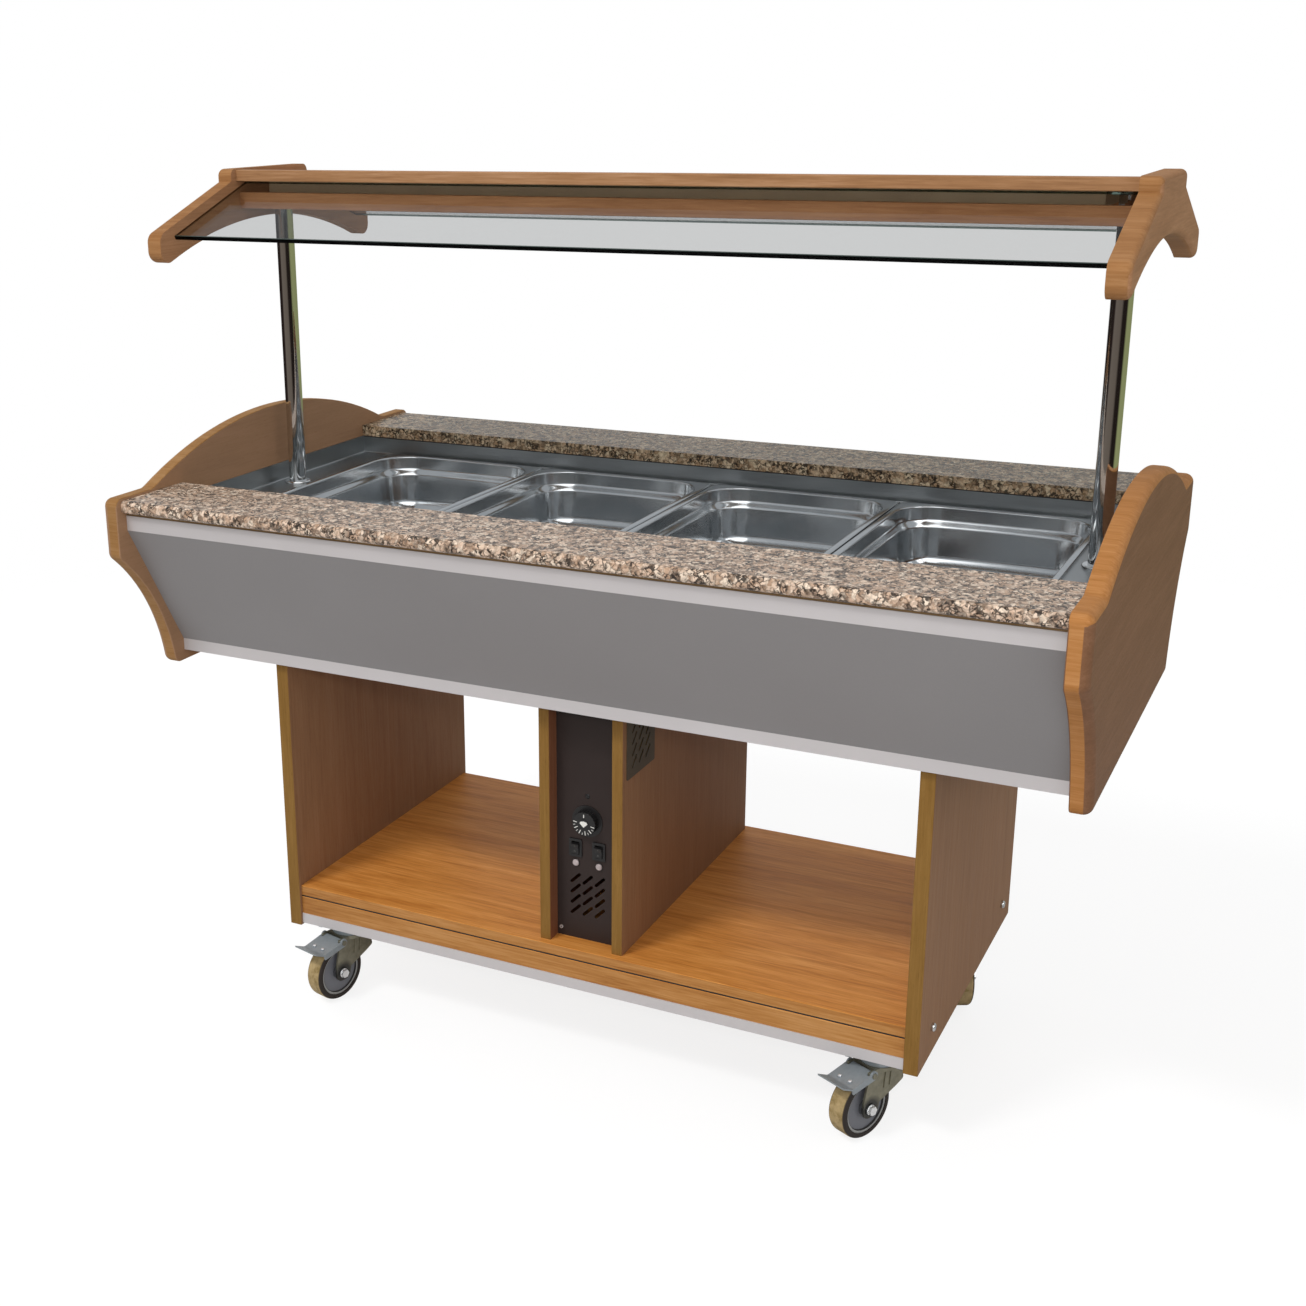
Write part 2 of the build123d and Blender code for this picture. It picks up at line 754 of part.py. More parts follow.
# Granite shelves: stone slabs with a rounded outer edge.
granite_mid_y = granite_inner_y + granite_depth / 2
for side, name in ((-1, "granite_front"), (1, "granite_rear")):
    with BuildPart() as granite:
        with Locations((0, side * granite_mid_y, granite_z)):
            Box(2 * (inner_x - fit_gap), granite_depth, granite_thickness, align=SIT)
        long_edges = granite.edges().filter_by(Axis.X).group_by(Axis.Y)
        fillet(long_edges[0] if side < 0 else long_edges[-1], granite_round)
    write_piece(granite.part, name)

# Trim strips: aluminium along the plinth and above and below each valance.
trim_x = inner_x - fit_gap
plinth_trim_x = leg_inner_x - fit_gap
plinth_trim_flange = plinth_thickness
with BuildPart() as trim_strips:
    for side in (-1, 1):
        outward = (Align.CENTER, Align.MAX if side < 0 else Align.MIN, Align.MIN)
        inward = (Align.CENTER, Align.MIN if side < 0 else Align.MAX, Align.MIN)
        with Locations((0, side * tub_floor_half_y, tub_floor_z)):
            Box(2 * trim_x, trim_sheet, tub_floor_thickness, align=outward)
        with Locations((0, side * bearer_front_y, bearer_z)):
            Box(2 * trim_x, trim_sheet, top_trim_height, align=outward)
        with Locations((0, side * shelf_half_y, plinth_z)):
            Box(2 * plinth_trim_x, trim_sheet, plinth_trim_height, align=outward)
            Box(2 * plinth_trim_x, plinth_trim_flange, trim_sheet, align=inward)
write_piece(trim_strips.part, "trim_strips")

# Well: a deck with an upstand on all sides, flanges on the bearers and a deep basin. The whole
# form is drawn first and then cut into the blanks that it is welded from.
tank_half_x = inner_x - fit_gap
flange_depth = bearer_front_y - tank_half_y - granite_overhang
with BuildPart() as well_form:
    with Locations((0, 0, deck_top - well_sheet)):
        Box(2 * tank_half_x, 2 * tank_half_y, upstand_height + well_sheet, align=SIT)
    with Locations((0, 0, deck_top)):
        Box(
            2 * (tank_half_x - well_sheet),
            2 * well_half_y,
            upstand_height,
            align=SIT,
            mode=Mode.SUBTRACT,
        )
    folds = well_form.edges().filter_by_position(Axis.Z, deck_top - fit_gap, deck_top + fit_gap)
    fillet(folds, well_fold)
    for side in (-1, 1):
        with Locations((0, side * (tank_half_y + flange_depth / 2), bearer_top)):
            Box(2 * tank_half_x, flange_depth, well_sheet, align=SIT)
    with BuildSketch(Plane.XY.offset(deck_top)):
        RectangleRounded(
            2 * (basin_half_x + well_sheet),
            2 * (basin_half_y + well_sheet),
            basin_corner + well_sheet,
        )
    extrude(amount=-basin_depth - well_sheet)
    with BuildSketch(Plane.XY.offset(deck_top)):
        RectangleRounded(2 * basin_half_x, 2 * basin_half_y, basin_corner)
    extrude(amount=-basin_depth, mode=Mode.SUBTRACT)
    with Locations((0, drain_y, basin_floor)):
        Cylinder(
            drain_pipe_diameter / 2 - drain_wall,
            well_sheet,
            align=HANG,
            mode=Mode.SUBTRACT,
        )

# The blanks as boxes round the form: floor, walls, deck, upstands and the basin's corners, each
# of which is cut again at half its bend.
seam_z = deck_top - well_sheet
fold_z = deck_top + well_fold
wall_x = basin_half_x - basin_corner
bend_x = wall_x + basin_corner * math.sin(math.radians(45))
rail_y = basin_half_y - basin_corner
far = 2 * tank_half_x
well_blanks = [
    ((-far, -far, 0), (far, far, basin_floor)),
    ((-wall_x, -far, basin_floor), (wall_x, 0, seam_z)),
    ((-wall_x, 0, basin_floor), (wall_x, far, seam_z)),
    ((-far, -rail_y, basin_floor), (0, rail_y, seam_z)),
    ((0, -rail_y, basin_floor), (far, rail_y, seam_z)),
    ((-far, -far, seam_z), (far, -rail_y, fold_z)),
    ((-far, rail_y, seam_z), (far, far, fold_z)),
    ((-far, -rail_y, seam_z), (0, rail_y, fold_z)),
    ((0, -rail_y, seam_z), (far, rail_y, fold_z)),
    ((-far, -far, fold_z), (far, -well_half_y, far)),
    ((-far, well_half_y, fold_z), (far, far, far)),
    ((-far, -well_half_y, fold_z), (0, well_half_y, far)),
    ((0, -well_half_y, fold_z), (far, well_half_y, far)),
]
for low_y, high_y in ((-far, -rail_y), (rail_y, far)):
    for low_x, high_x in ((-far, -bend_x), (-bend_x, -wall_x), (wall_x, bend_x), (bend_x, far)):
        well_blanks.append(((low_x, low_y, basin_floor), (high_x, high_y, seam_z)))
well_pieces = []
for low, high in well_blanks:
    with BuildPart() as blank:
        add(well_form.part)
        with Locations(low):
            Box(
                high[0] - low[0],
                high[1] - low[1],
                high[2] - low[2],
                align=(Align.MIN, Align.MIN, Align.MIN),
                mode=Mode.INTERSECT,
            )
    well_pieces.append(blank.part)
write_piece(Compound(children=well_pieces), "well_tank")

# Pan bars: cross bars flush with the deck, under the rims where two pans meet.
with BuildPart() as pan_bars:
    for gap in range(1, pan_count):
        with Locations((gap * pan_pitch - row_half, 0, deck_top)):
            Box(bar_width, 2 * basin_half_y, bar_height, align=HANG)
write_piece(pan_bars.part, "pan_bars")


def bowl_stages(wall):
    """The two stages of a pan's bowl, drawn in by wall, as pairs of (depth, inset)."""
    shoulder = pan_shoulder_depth + pan_sheet - wall
    drop = pan_depth + pan_sheet - wall
    taper = pan_draft / pan_depth
    high_stage = ((0.0, wall), (shoulder, wall + taper * shoulder))
    inset = wall + pan_shoulder_step
    low_stage = ((shoulder, inset + taper * shoulder), (drop, inset + taper * drop))
    return high_stage, low_stage


# Pan bowls: the outside and the hollow of one pan, each lofted in two stages.
pan_top = deck_top + pan_rim_rise
bowl_width = pan_width - 2 * (pan_rim - pan_sheet)
bowl_length = pan_length - 2 * (pan_rim - pan_sheet)
bowls = []
for wall in (0.0, pan_sheet):
    with BuildPart() as bowl:
        for stage in bowl_stages(wall):
            for depth, inset in stage:
                with BuildSketch(Plane.XY.offset(pan_top - depth)):
                    RectangleRounded(
                        bowl_width - 2 * inset,
                        bowl_length - 2 * inset,
                        pan_corner + pan_sheet - inset,
                    )
            loft(ruled=True)
        fillet(bowl.faces().sort_by(Axis.Z)[0].edges(), pan_floor_round - wall)
    bowls.append(bowl.part)

# Food pans: pressed bowls with a stacking shoulder and a rim rolled down to the deck.
for index in range(pan_count):
    pan_x = (index + 0.5) * pan_pitch - row_half
    with BuildPart() as pan:
        with BuildSketch(Plane((pan_x, 0, deck_top))):
            RectangleRounded(pan_width, pan_length, pan_rim_corner)
        extrude(amount=pan_rim_rise)
        fillet(pan.faces().sort_by(Axis.Z)[-1].edges(), pan_rim_round)
        with BuildSketch(Plane((pan_x, 0, deck_top))):
            RectangleRounded(
                pan_width - 2 * pan_sheet,
                pan_length - 2 * pan_sheet,
                pan_rim_corner - pan_sheet,
            )
        extrude(amount=pan_rim_rise - pan_sheet, mode=Mode.SUBTRACT)
        with Locations((pan_x, 0, 0)):
            add(bowls[0])
            add(bowls[1], mode=Mode.SUBTRACT)
        rim_top = pan.faces().filter_by(Axis.Z).sort_by(Axis.Z)[-1]
        fillet(rim_top.inner_wires()[0].edges(), pan_lip_round)
    write_piece(pan.part, f"pan_{index + 1}")

# Heating element: one hairpin tube from the basin's right end, on two support bars.
element_z = basin_floor + element_lift
element_y = basin_half_y - element_inset_y
element_far_x = element_inset_x - basin_half_x
element_bar_height = element_lift - element_diameter / 2
with BuildPart() as element_tube:
    with BuildLine():
        FilletPolyline(
            (basin_half_x, -element_y, element_z),
            (element_far_x, -element_y, element_z),
            (element_far_x, element_y, element_z),
            (basin_half_x, element_y, element_z),
            radius=element_bend,
        )
    with BuildSketch(Plane((basin_half_x, -element_y, element_z), z_dir=(-1, 0, 0))):
        Circle(element_diameter / 2)
    sweep()
with BuildPart() as element_bars:
    for spot in (-element_bar_spread / 2, element_bar_spread / 2):
        with Locations((spot, 0, basin_floor)):
            Box(element_bar_width, 2 * element_y, element_bar_height, align=SIT)
heating_element = Compound(children=[element_tube.part, element_bars.part])
write_piece(heating_element, "heating_element")

# Drain: a collar and pipe under the basin, a ball valve and a bent spout.
basin_under = basin_floor - well_sheet
valve_top = valve_z + valve_tall / 2
valve_low = valve_z - valve_tall / 2
drain_bore = drain_pipe_diameter / 2 - drain_wall
lever_y = column_half_y + lever_gap
stem_end_y = lever_y + lever_thickness + fit_gap
with BuildPart() as drain_run:
    with Locations((0, drain_y, basin_under)):
        Cylinder(drain_collar_diameter / 2, drain_collar_height, align=HANG)
        Cylinder(drain_pipe_diameter / 2, basin_under - valve_top, align=HANG)
        Cylinder(drain_bore, basin_under - valve_top, align=HANG, mode=Mode.SUBTRACT)
with BuildPart() as drain_valve:
    with Locations((0, drain_y, valve_low)):
        Box(valve_width, valve_width, valve_tall, align=SIT)
    fillet(drain_valve.edges().filter_by(Axis.Z), valve_width / 5)
    valve_face = Plane((0, drain_y, valve_z), x_dir=(-1, 0, 0), z_dir=(0, 1, 0))
    with BuildSketch(valve_face):
        Circle(valve_stem_diameter / 2)
    extrude(amount=stem_end_y - drain_y)
    with BuildSketch(valve_face.offset(lever_y - fit_gap - drain_y)):
        Circle(valve_stem_diameter * 0.75)
    extrude(amount=-lever_thickness)
    with BuildSketch(valve_face.offset(stem_end_y - drain_y)):
        RegularPolygon(valve_stem_diameter * 0.75, 6, major_radius=False)
    extrude(amount=lever_thickness)
with BuildPart() as drain_spout:
    with BuildLine():
        FilletPolyline(
            (0, drain_y, valve_low),
            (0, drain_y, spout_z),
            (0, column_half_y, spout_z),
            radius=spout_bend,
        )
    with BuildSketch(Plane((0, drain_y, valve_low), z_dir=(0, 0, -1))):
        Circle(spout_diameter / 2)
        Circle(spout_diameter / 2 - drain_wall, mode=Mode.SUBTRACT)
    sweep()
drain_pipe = Compound(children=[drain_run.part, drain_valve.part, drain_spout.part])
write_piece(drain_pipe, "drain_pipe")

# Drain lever: a flat handle on the valve stem, level when the valve is shut.
lever_plane = Plane((0, lever_y, valve_z), x_dir=(1, 0, 0), z_dir=(0, -1, 0))
lever_eye = valve_stem_diameter / 2 + hub_bore_gap
with BuildPart() as drain_lever:
    with BuildSketch(lever_plane):
        Circle(lever_width / 2 + valve_stem_diameter / 4)
        with Locations((lever_length / 2 - lever_width / 2, 0)):
            SlotOverall(lever_length, lever_width)
        Circle(lever_eye, mode=Mode.SUBTRACT)
    extrude(amount=-lever_thickness)
write_piece(drain_lever.part, "drain_lever")

# Canopy posts: polished tubes from the deck up to the roof, each with a foot ring and a
# spacer disc round the screw that holds its bracket.
post_height = board_z - deck_top
post_screw_z = board_z - post_screw_drop
with BuildPart() as post_tubes:
    with Locations((-post_x, 0, deck_top), (post_x, 0, deck_top)):
        Cylinder(post_radius, post_height, align=SIT)
        Cylinder(post_radius - post_wall, post_height, align=SIT, mode=Mode.SUBTRACT)
    with BuildSketch(Plane.YZ.offset(-bracket_inner_x)):
        with Locations((0, post_screw_z)):
            Circle(post_screw_diameter / 2)
    extrude(amount=2 * bracket_inner_x, mode=Mode.SUBTRACT)
with BuildPart() as post_rings:
    with Locations((-post_x, 0, deck_top), (post_x, 0, deck_top)):
        Cylinder(post_flange_diameter / 2, post_flange_height, align=SIT)
    rims = post_rings.edges().filter_by(GeomType.CIRCLE).group_by(Axis.Z)[-1]
    fillet(rims, post_flange_height / 2)
    with Locations((-post_x, 0, deck_top), (post_x, 0, deck_top)):
        Cylinder(post_radius, post_flange_height, align=SIT, mode=Mode.SUBTRACT)
with BuildPart() as post_spacers:
    for side in (-1, 1):
        with BuildSketch(Plane.YZ.offset(side * bracket_inner_x)):
            with Locations((0, post_screw_z)):
                Circle(post_spacer_diameter / 2)
        extrude(amount=-side * (post_standoff + post_radius))
        with Locations((side * post_x, 0, post_screw_z)):
            Cylinder(post_radius, 2 * post_spacer_diameter, mode=Mode.SUBTRACT)
        with BuildSketch(Plane.YZ.offset(side * bracket_inner_x)):
            with Locations((0, post_screw_z)):
                Circle(post_screw_diameter / 2)
        extrude(amount=-side * (post_standoff + post_radius), mode=Mode.SUBTRACT)
canopy_posts = Compound(children=[post_tubes.part, post_rings.part, post_spacers.part])
write_piece(canopy_posts, "canopy_posts")

# Glass line: parallel to the bracket's arm, a little below its upper edge.
slope = math.radians(arm_angle)
glass_low_y = bracket_half_length - glass_setback
glass_drop = glass_below_arm / math.cos(slope)
glass_low_z = arm_tip_z + glass_setback * math.tan(slope) - glass_drop
glass_length = (glass_low_y - fascia_y + glass_reach / 2) / math.cos(slope)


def glass_plane(side, x):
    """Plane of the pane's section, with its first axis up the slope."""
    return Plane(
        (x, side * glass_low_y, glass_low_z),
        x_dir=(0, -side * math.cos(slope), math.sin(slope)),
        z_dir=(-side, 0, 0),
    )


# Brackets: gable-shaped boards with an arched underside and grooves for the glass.
for side, name in ((-1, "canopy_bracket_left"), (1, "canopy_bracket_right")):
    with BuildPart() as bracket:
        with BuildSketch(Plane.YZ.offset(side * bracket_inner_x)) as gable:
            tip_y = bracket_half_length
            tip_rise = bracket_arch_radius - math.sqrt(bracket_arch_radius**2 - tip_y**2)
            tip_low_z = arch_apex_z - tip_rise
            with BuildLine():
                Polyline(
                    (-tip_y, tip_low_z),
                    (-tip_y, arm_tip_z),
                    (-bracket_top_half, arm_top_z),
                    (-bracket_top_half, canopy_top),
                    (bracket_top_half, canopy_top),
                    (bracket_top_half, arm_top_z),
                    (tip_y, arm_tip_z),
                    (tip_y, tip_low_z),
                )
                ThreePointArc((tip_y, tip_low_z), (0, arch_apex_z), (-tip_y, tip_low_z))
            make_face()
            corners = gable.vertices()
            fillet(corners.group_by(Axis.Y)[-1], bracket_top_round)
            tips = gable.vertices().filter_by_position(Axis.Y, tip_low_z - fit_gap, arm_tip_z + fit_gap)
            fillet(tips, bracket_tip_round)
        extrude(amount=side * bracket_thickness)
        faces = bracket.faces().sort_by(Axis.X)
        outside = faces[-1] if side > 0 else faces[0]
        fillet(outside.edges(), bracket_round)
        for end in (-1, 1):
            with BuildSketch(glass_plane(end, side * bracket_inner_x)):
                with Locations((0, -glass_thickness)):
                    Rectangle(
                        glass_length + glass_seat,
                        glass_thickness + glass_seat,
                        align=Align.MIN,
                    )
            extrude(amount=-side * end * glass_groove_depth, mode=Mode.SUBTRACT)
        with BuildSketch(Plane.YZ.offset(side * bracket_inner_x)):
            with Locations((0, post_screw_z)):
                Circle(post_screw_diameter / 2)
        extrude(amount=side * post_screw_grip, mode=Mode.SUBTRACT)
    write_piece(bracket.part, name)

# Canopy board: a thin roof on top of the posts, with a taller strip along its front.
roof_front_y = canopy_strip_depth - canopy_board_half_depth
with BuildPart() as canopy_roof:
    with Locations((0, roof_front_y, board_z)):
        Box(
            2 * bracket_inner_x,
            canopy_board_half_depth - roof_front_y,
            canopy_roof_thickness,
            align=(Align.CENTER, Align.MIN, Align.MIN),
        )
with BuildPart() as canopy_strip:
    with Locations((0, roof_front_y, board_z)):
        Box(
            2 * bracket_inner_x,
            canopy_strip_depth,
            canopy_strip_height,
            align=(Align.CENTER, Align.MAX, Align.MIN),
        )
    fillet(canopy_strip.edges().filter_by(Axis.X).group_by(Axis.Y)[0], board_edge_round)
canopy_board = Compound(children=[canopy_roof.part, canopy_strip.part])
write_piece(canopy_board, "canopy_board")

# Canopy fascias: strips under the board that hide the lamp from the sides.
fascia_mid_y = fascia_y - fascia_thickness / 2
with BuildPart() as canopy_fascias:
    with Locations((0, -fascia_mid_y, fascia_top), (0, fascia_mid_y, fascia_top)):
        Box(2 * bracket_inner_x, fascia_thickness, fascia_height, align=HANG)
    fillet(canopy_fascias.edges().filter_by(Axis.X), board_edge_round)
write_piece(canopy_fascias.part, "canopy_fascias")

# Glass panes: flat sheets whose ends sit in the brackets' grooves.
glass_half_x = bracket_inner_x + glass_groove_depth - glass_seat
for side, name in ((-1, "glass_front"), (1, "glass_rear")):
    with BuildPart() as pane:
        with BuildSketch(glass_plane(side, -glass_half_x)):
            with Locations((glass_length / 2, -glass_thickness / 2)):
                Rectangle(glass_length, glass_thickness)
        extrude(amount=-side * 2 * glass_half_x)
    write_piece(pane.part, name)

# Lamp: a housing under the roof that fills the space behind the fascias and between
# the upper edges of the panes, and a diffuser.
glass_end_y = fascia_y - glass_reach / 2 - glass_thickness * math.sin(slope)
lamp_length = 2 * (post_x - post_radius - lamp_end_gap)
lamp_width = 2 * (min(fascia_y - fascia_thickness, glass_end_y) - fit_gap)
lamp_low = board_z - lamp_height
with BuildPart() as lamp_housing:
    with Locations((0, 0, board_z)):
        Box(lamp_length, lamp_width, lamp_height, align=HANG)
    fillet(lamp_housing.edges().filter_by(Axis.X).group_by(Axis.Z)[0], board_edge_round)
with BuildPart() as lamp_diffuser:
    with Locations((0, 0, lamp_low)):
        Box(
            lamp_length - 2 * lamp_diffuser_inset,
            lamp_width - 2 * lamp_diffuser_inset,
            lamp_diffuser_drop,
            align=HANG,
        )
    fillet(lamp_diffuser.edges().filter_by(Axis.X).group_by(Axis.Z)[0], lamp_diffuser_drop / 2)
canopy_lamp = Compound(children=[lamp_housing.part, lamp_diffuser.part])
write_piece(canopy_lamp, "canopy_lamp")

# Cleats: wooden blocks in the column's corners that take the panel screws.
screw_grid = (
    (-screw_x, screw_low_z),
    (screw_x, screw_low_z),
    (-screw_x, screw_high_z),
    (screw_x, screw_high_z),
)
cleat_x = column_inner_x - panel_sheet - cleat_width / 2
cleat_grid = (
    (-cleat_x, screw_low_z),
    (cleat_x, screw_low_z),
    (-cleat_x, screw_high_z),
    (cleat_x, screw_high_z),
)
with BuildPart() as column_cleats:
    for face in (panel_front, panel_rear):
        with BuildSketch(face.offset(-panel_sheet)):
            with Locations(cleat_grid):
                Rectangle(cleat_width, 4 * screw_inset)
            with Locations(screw_grid):
                Circle(screw_shank_diameter / 2, mode=Mode.SUBTRACT)
        extrude(amount=-cleat_depth)
write_piece(column_cleats.part, "column_cleats")

# Assembly screws: in both column panels, and through each post into its bracket.
with BuildPart() as assembly_screws:
    for side in (-1, 1):
        with BuildSketch(Plane.YZ.offset(side * post_x)):
            with Locations((0, post_screw_z)):
                Circle(post_screw_head / 2)
        extrude(amount=-side * (post_radius + 2 * screw_head_height))
        with Locations((side * post_x, 0, post_screw_z)):
            Cylinder(post_radius, 2 * post_screw_head, mode=Mode.SUBTRACT)
        with BuildSketch(Plane.YZ.offset(side * (post_x - post_radius - screw_head_height))):
            with Locations((0, post_screw_z)):
                Circle(post_screw_diameter / 2)
        extrude(
            amount=side
            * (post_diameter + screw_head_height + post_standoff + post_screw_grip)
        )
    for face in (panel_front, panel_rear):
        with BuildSketch(face):
            with Locations(screw_grid):
                Circle(screw_shank_diameter / 2)
        extrude(amount=-screw_length)
        with BuildSketch(face):
            with Locations(screw_grid):
                Circle(screw_head_diameter / 2)
        extrude(amount=screw_head_height)
write_piece(assembly_screws.part, "assembly_screws")


# Castors. Each stands on its own frame: out along the trail, across the axle, and up.
wheel_radius = wheel_diameter / 2
hub_radius = wheel_radius - tyre_thickness
plate_low = castor_height - castor_plate_thickness
race_low = plate_low - race_height
crown_top = race_low - race_gap
crown_low = crown_top - fork_crown_thickness
fork_inner = wheel_width / 2 + fork_side_gap
fork_outer = fork_inner + fork_sheet
hub_bore = axle_diameter / 2 + hub_bore_gap
pedal_inner = fork_outer + fit_gap
pedal_outer = pedal_inner + pedal_sheet
castor_left_x = castor_inset_left - leg_outer_x
castor_right_x = leg_outer_x - castor_inset_right
castor_front_y = castor_inset_front - shelf_half_y
castor_rear_y = shelf_half_y - castor_inset_rear
plate_bolt_x = castor_plate_x - 2 * plate_bolt_inset
plate_bolt_y = castor_plate_y - 2 * plate_bolt_inset
pedal_pin_z = crown_top - pedal_pin_drop
castors = (
    ("front_left", castor_left_x, castor_front_y, front_left_yaw, True),
    ("front_right", castor_right_x, castor_front_y, front_right_yaw, True),
    ("rear_left", castor_left_x, castor_rear_y, rear_left_yaw, False),
    ("rear_right", castor_right_x, castor_rear_y, rear_right_yaw, False),
)


def castor_frame(x, y, yaw):
    """Trail and axle directions of a castor, with yaw turning it left of forward."""
    turn = math.radians(yaw)
    trail = Vector(-math.sin(turn), -math.cos(turn), 0)
    across = Vector(-trail.Y, trail.X, 0)
    foot = Vector(x, y, 0)
    return foot, trail, across


# Castor plates: each with four bolt heads below, its race and its kingpin.
with BuildPart() as castor_plates:
    for name, x, y, yaw, braked in castors:
        with Locations((x, y, plate_low)):
            Box(castor_plate_x, castor_plate_y, castor_plate_thickness, align=SIT)
        with Locations((x, y, plate_low)):
            Cylinder(race_diameter / 2, race_height, align=HANG)
        with Locations((x, y, race_low)):
            Cylinder(kingpin_diameter / 2, race_gap + fork_crown_thickness + race_gap, align=HANG)
        with Locations((x, y, crown_low - race_gap)):
            Cylinder(kingpin_head_diameter / 2, kingpin_head_height, align=HANG)
        with BuildSketch(Plane.XY.offset(plate_low)):
            with Locations((x, y)):
                with GridLocations(plate_bolt_x, plate_bolt_y, 2, 2):
                    RegularPolygon(plate_bolt_width / 2, 6, major_radius=False)
        extrude(amount=-plate_bolt_height)
write_piece(castor_plates.part, "castor_plates")

for name, x, y, yaw, braked in castors:
    foot, trail, across = castor_frame(x, y, yaw)
    level = Plane(foot, x_dir=trail, z_dir=(0, 0, 1))
    upright = Plane(foot, x_dir=trail, z_dir=(-across.X, -across.Y, 0))
    hub_centre = foot + trail * castor_trail + Vector(0, 0, wheel_radius)
    axle_plane = Plane(hub_centre, x_dir=across, z_dir=trail)
    axle_axis = Axis(hub_centre, across)
    ear_reach = pedal_pin_reach + pedal_hub_radius + fork_sheet

    # Fork: a crown under the race, a leg on each side down to the axle, and a flank and a wall
    # behind. Two ribs are pressed into each side.
    tail_z = wheel_radius + fork_tail_rise
    flank_z = wheel_radius + fork_flank_rise
    leg_rear = castor_trail - fork_foot_radius - fork_leg_taper
    with BuildPart() as fork:
        with BuildSketch(level.offset(crown_low)):
            Circle(fork_crown_radius)
            Rectangle(2 * fork_crown_radius, 2 * fork_outer)
        extrude(amount=fork_crown_thickness)
        with BuildSketch(upright.offset(-fork_outer)) as cheek:
            with BuildLine():
                Polyline(
                    (-fork_crown_radius, crown_top),
                    (ear_reach, crown_top),
                    (ear_reach, pedal_pin_z - pedal_hub_radius - fork_sheet),
                    (castor_trail + fork_foot_radius, wheel_radius + fork_foot_radius),
                    (castor_trail + fork_foot_radius, wheel_radius - fork_foot_radius),
                    (castor_trail - fork_foot_radius, wheel_radius - fork_foot_radius),
                    (leg_rear, wheel_radius + fork_leg_rise),
                    (-fork_flank_reach, flank_z),
                    (-fork_tail_reach, tail_z),
                    close=True,
                )
            make_face()
            lows = cheek.vertices().group_by(Axis.Y)[0]
            fillet(lows, fork_foot_radius * 0.8)
        extrude(amount=2 * fork_outer)
        rear_face = fork.faces().sort_by(Axis(foot, trail))[0]
        uprights = [e for e in rear_face.edges() if abs(e.tangent_at(0.5).dot(across)) < 0.5]
        fillet(uprights, fork_tail_round)
        with BuildSketch(upright.offset(-fork_inner)):
            with BuildLine():
                Polyline(
                    (fork_sheet - fork_crown_radius, crown_low),
                    (wheel_diameter, crown_low),
                    (wheel_diameter, 0),
                    (-wheel_diameter, 0),
                    (-wheel_diameter, tail_z),
                    (fork_sheet - fork_tail_reach, tail_z),
                    close=True,
                )
            make_face()
            with Locations((fork_crown_radius + wheel_radius, crown_low)):
                Rectangle(2 * wheel_radius, 4 * fork_crown_thickness)
        extrude(amount=2 * fork_inner, mode=Mode.SUBTRACT)
        for flank in (-fork_outer - fork_rib_height, fork_outer):
            for rib_x in (-fork_rib_width, fork_rib_width):
                with BuildSketch(upright.offset(flank)):
                    with BuildLine():
                        Line((rib_x, crown_low), (rib_x + fork_rib_width / 2, flank_z + fork_rib_width))
                    trace(line_width=fork_rib_width)
                extrude(amount=fork_rib_height)
        with BuildSketch(level.offset(crown_low)):
            Circle(kingpin_diameter / 2 + hub_bore_gap)
        extrude(amount=fork_crown_thickness, mode=Mode.SUBTRACT)
        with BuildSketch(upright.offset(-2 * fork_outer)):
            with Locations((castor_trail, wheel_radius)):
                Circle(axle_diameter / 2)
            if braked:
                with Locations((pedal_pin_reach, pedal_pin_z)):
                    Circle(pedal_pin_diameter / 2)
        extrude(amount=4 * fork_outer, mode=Mode.SUBTRACT)

    # Axle bolt with its washers, head and nut, and the pedal's pin where there is a brake.
    washer_face = fork_outer + axle_washer_height
    with BuildPart() as axle:
        with BuildSketch(upright.offset(-fork_outer)):
            with Locations((castor_trail, wheel_radius)):
                Circle(axle_diameter / 2)
        extrude(amount=2 * fork_outer)
        for flank in (-washer_face, fork_outer):
            with BuildSketch(upright.offset(flank)):
                with Locations((castor_trail, wheel_radius)):
                    Circle(axle_washer_diameter / 2)
            extrude(amount=axle_washer_height)
        for flank in (-washer_face - axle_head_height, washer_face):
            with BuildSketch(upright.offset(flank)):
                with Locations((castor_trail, wheel_radius)):
                    RegularPolygon(axle_head_width / 2, 6, major_radius=False)
            extrude(amount=axle_head_height)
        if braked:
            pin_half = pedal_outer + fit_gap
            with BuildSketch(upright.offset(-pin_half)):
                with Locations((pedal_pin_reach, pedal_pin_z)):
                    Circle(pedal_pin_diameter / 2)
            extrude(amount=2 * pin_half)
            for flank in (-pin_half - pedal_pin_head_height, pin_half):
                with BuildSketch(upright.offset(flank)):
                    with Locations((pedal_pin_reach, pedal_pin_z)):
                        Circle(pedal_pin_head / 2)
                extrude(amount=pedal_pin_head_height)
    write_piece(Compound(children=[fork.part, axle.part]), f"castor_fork_{name}")

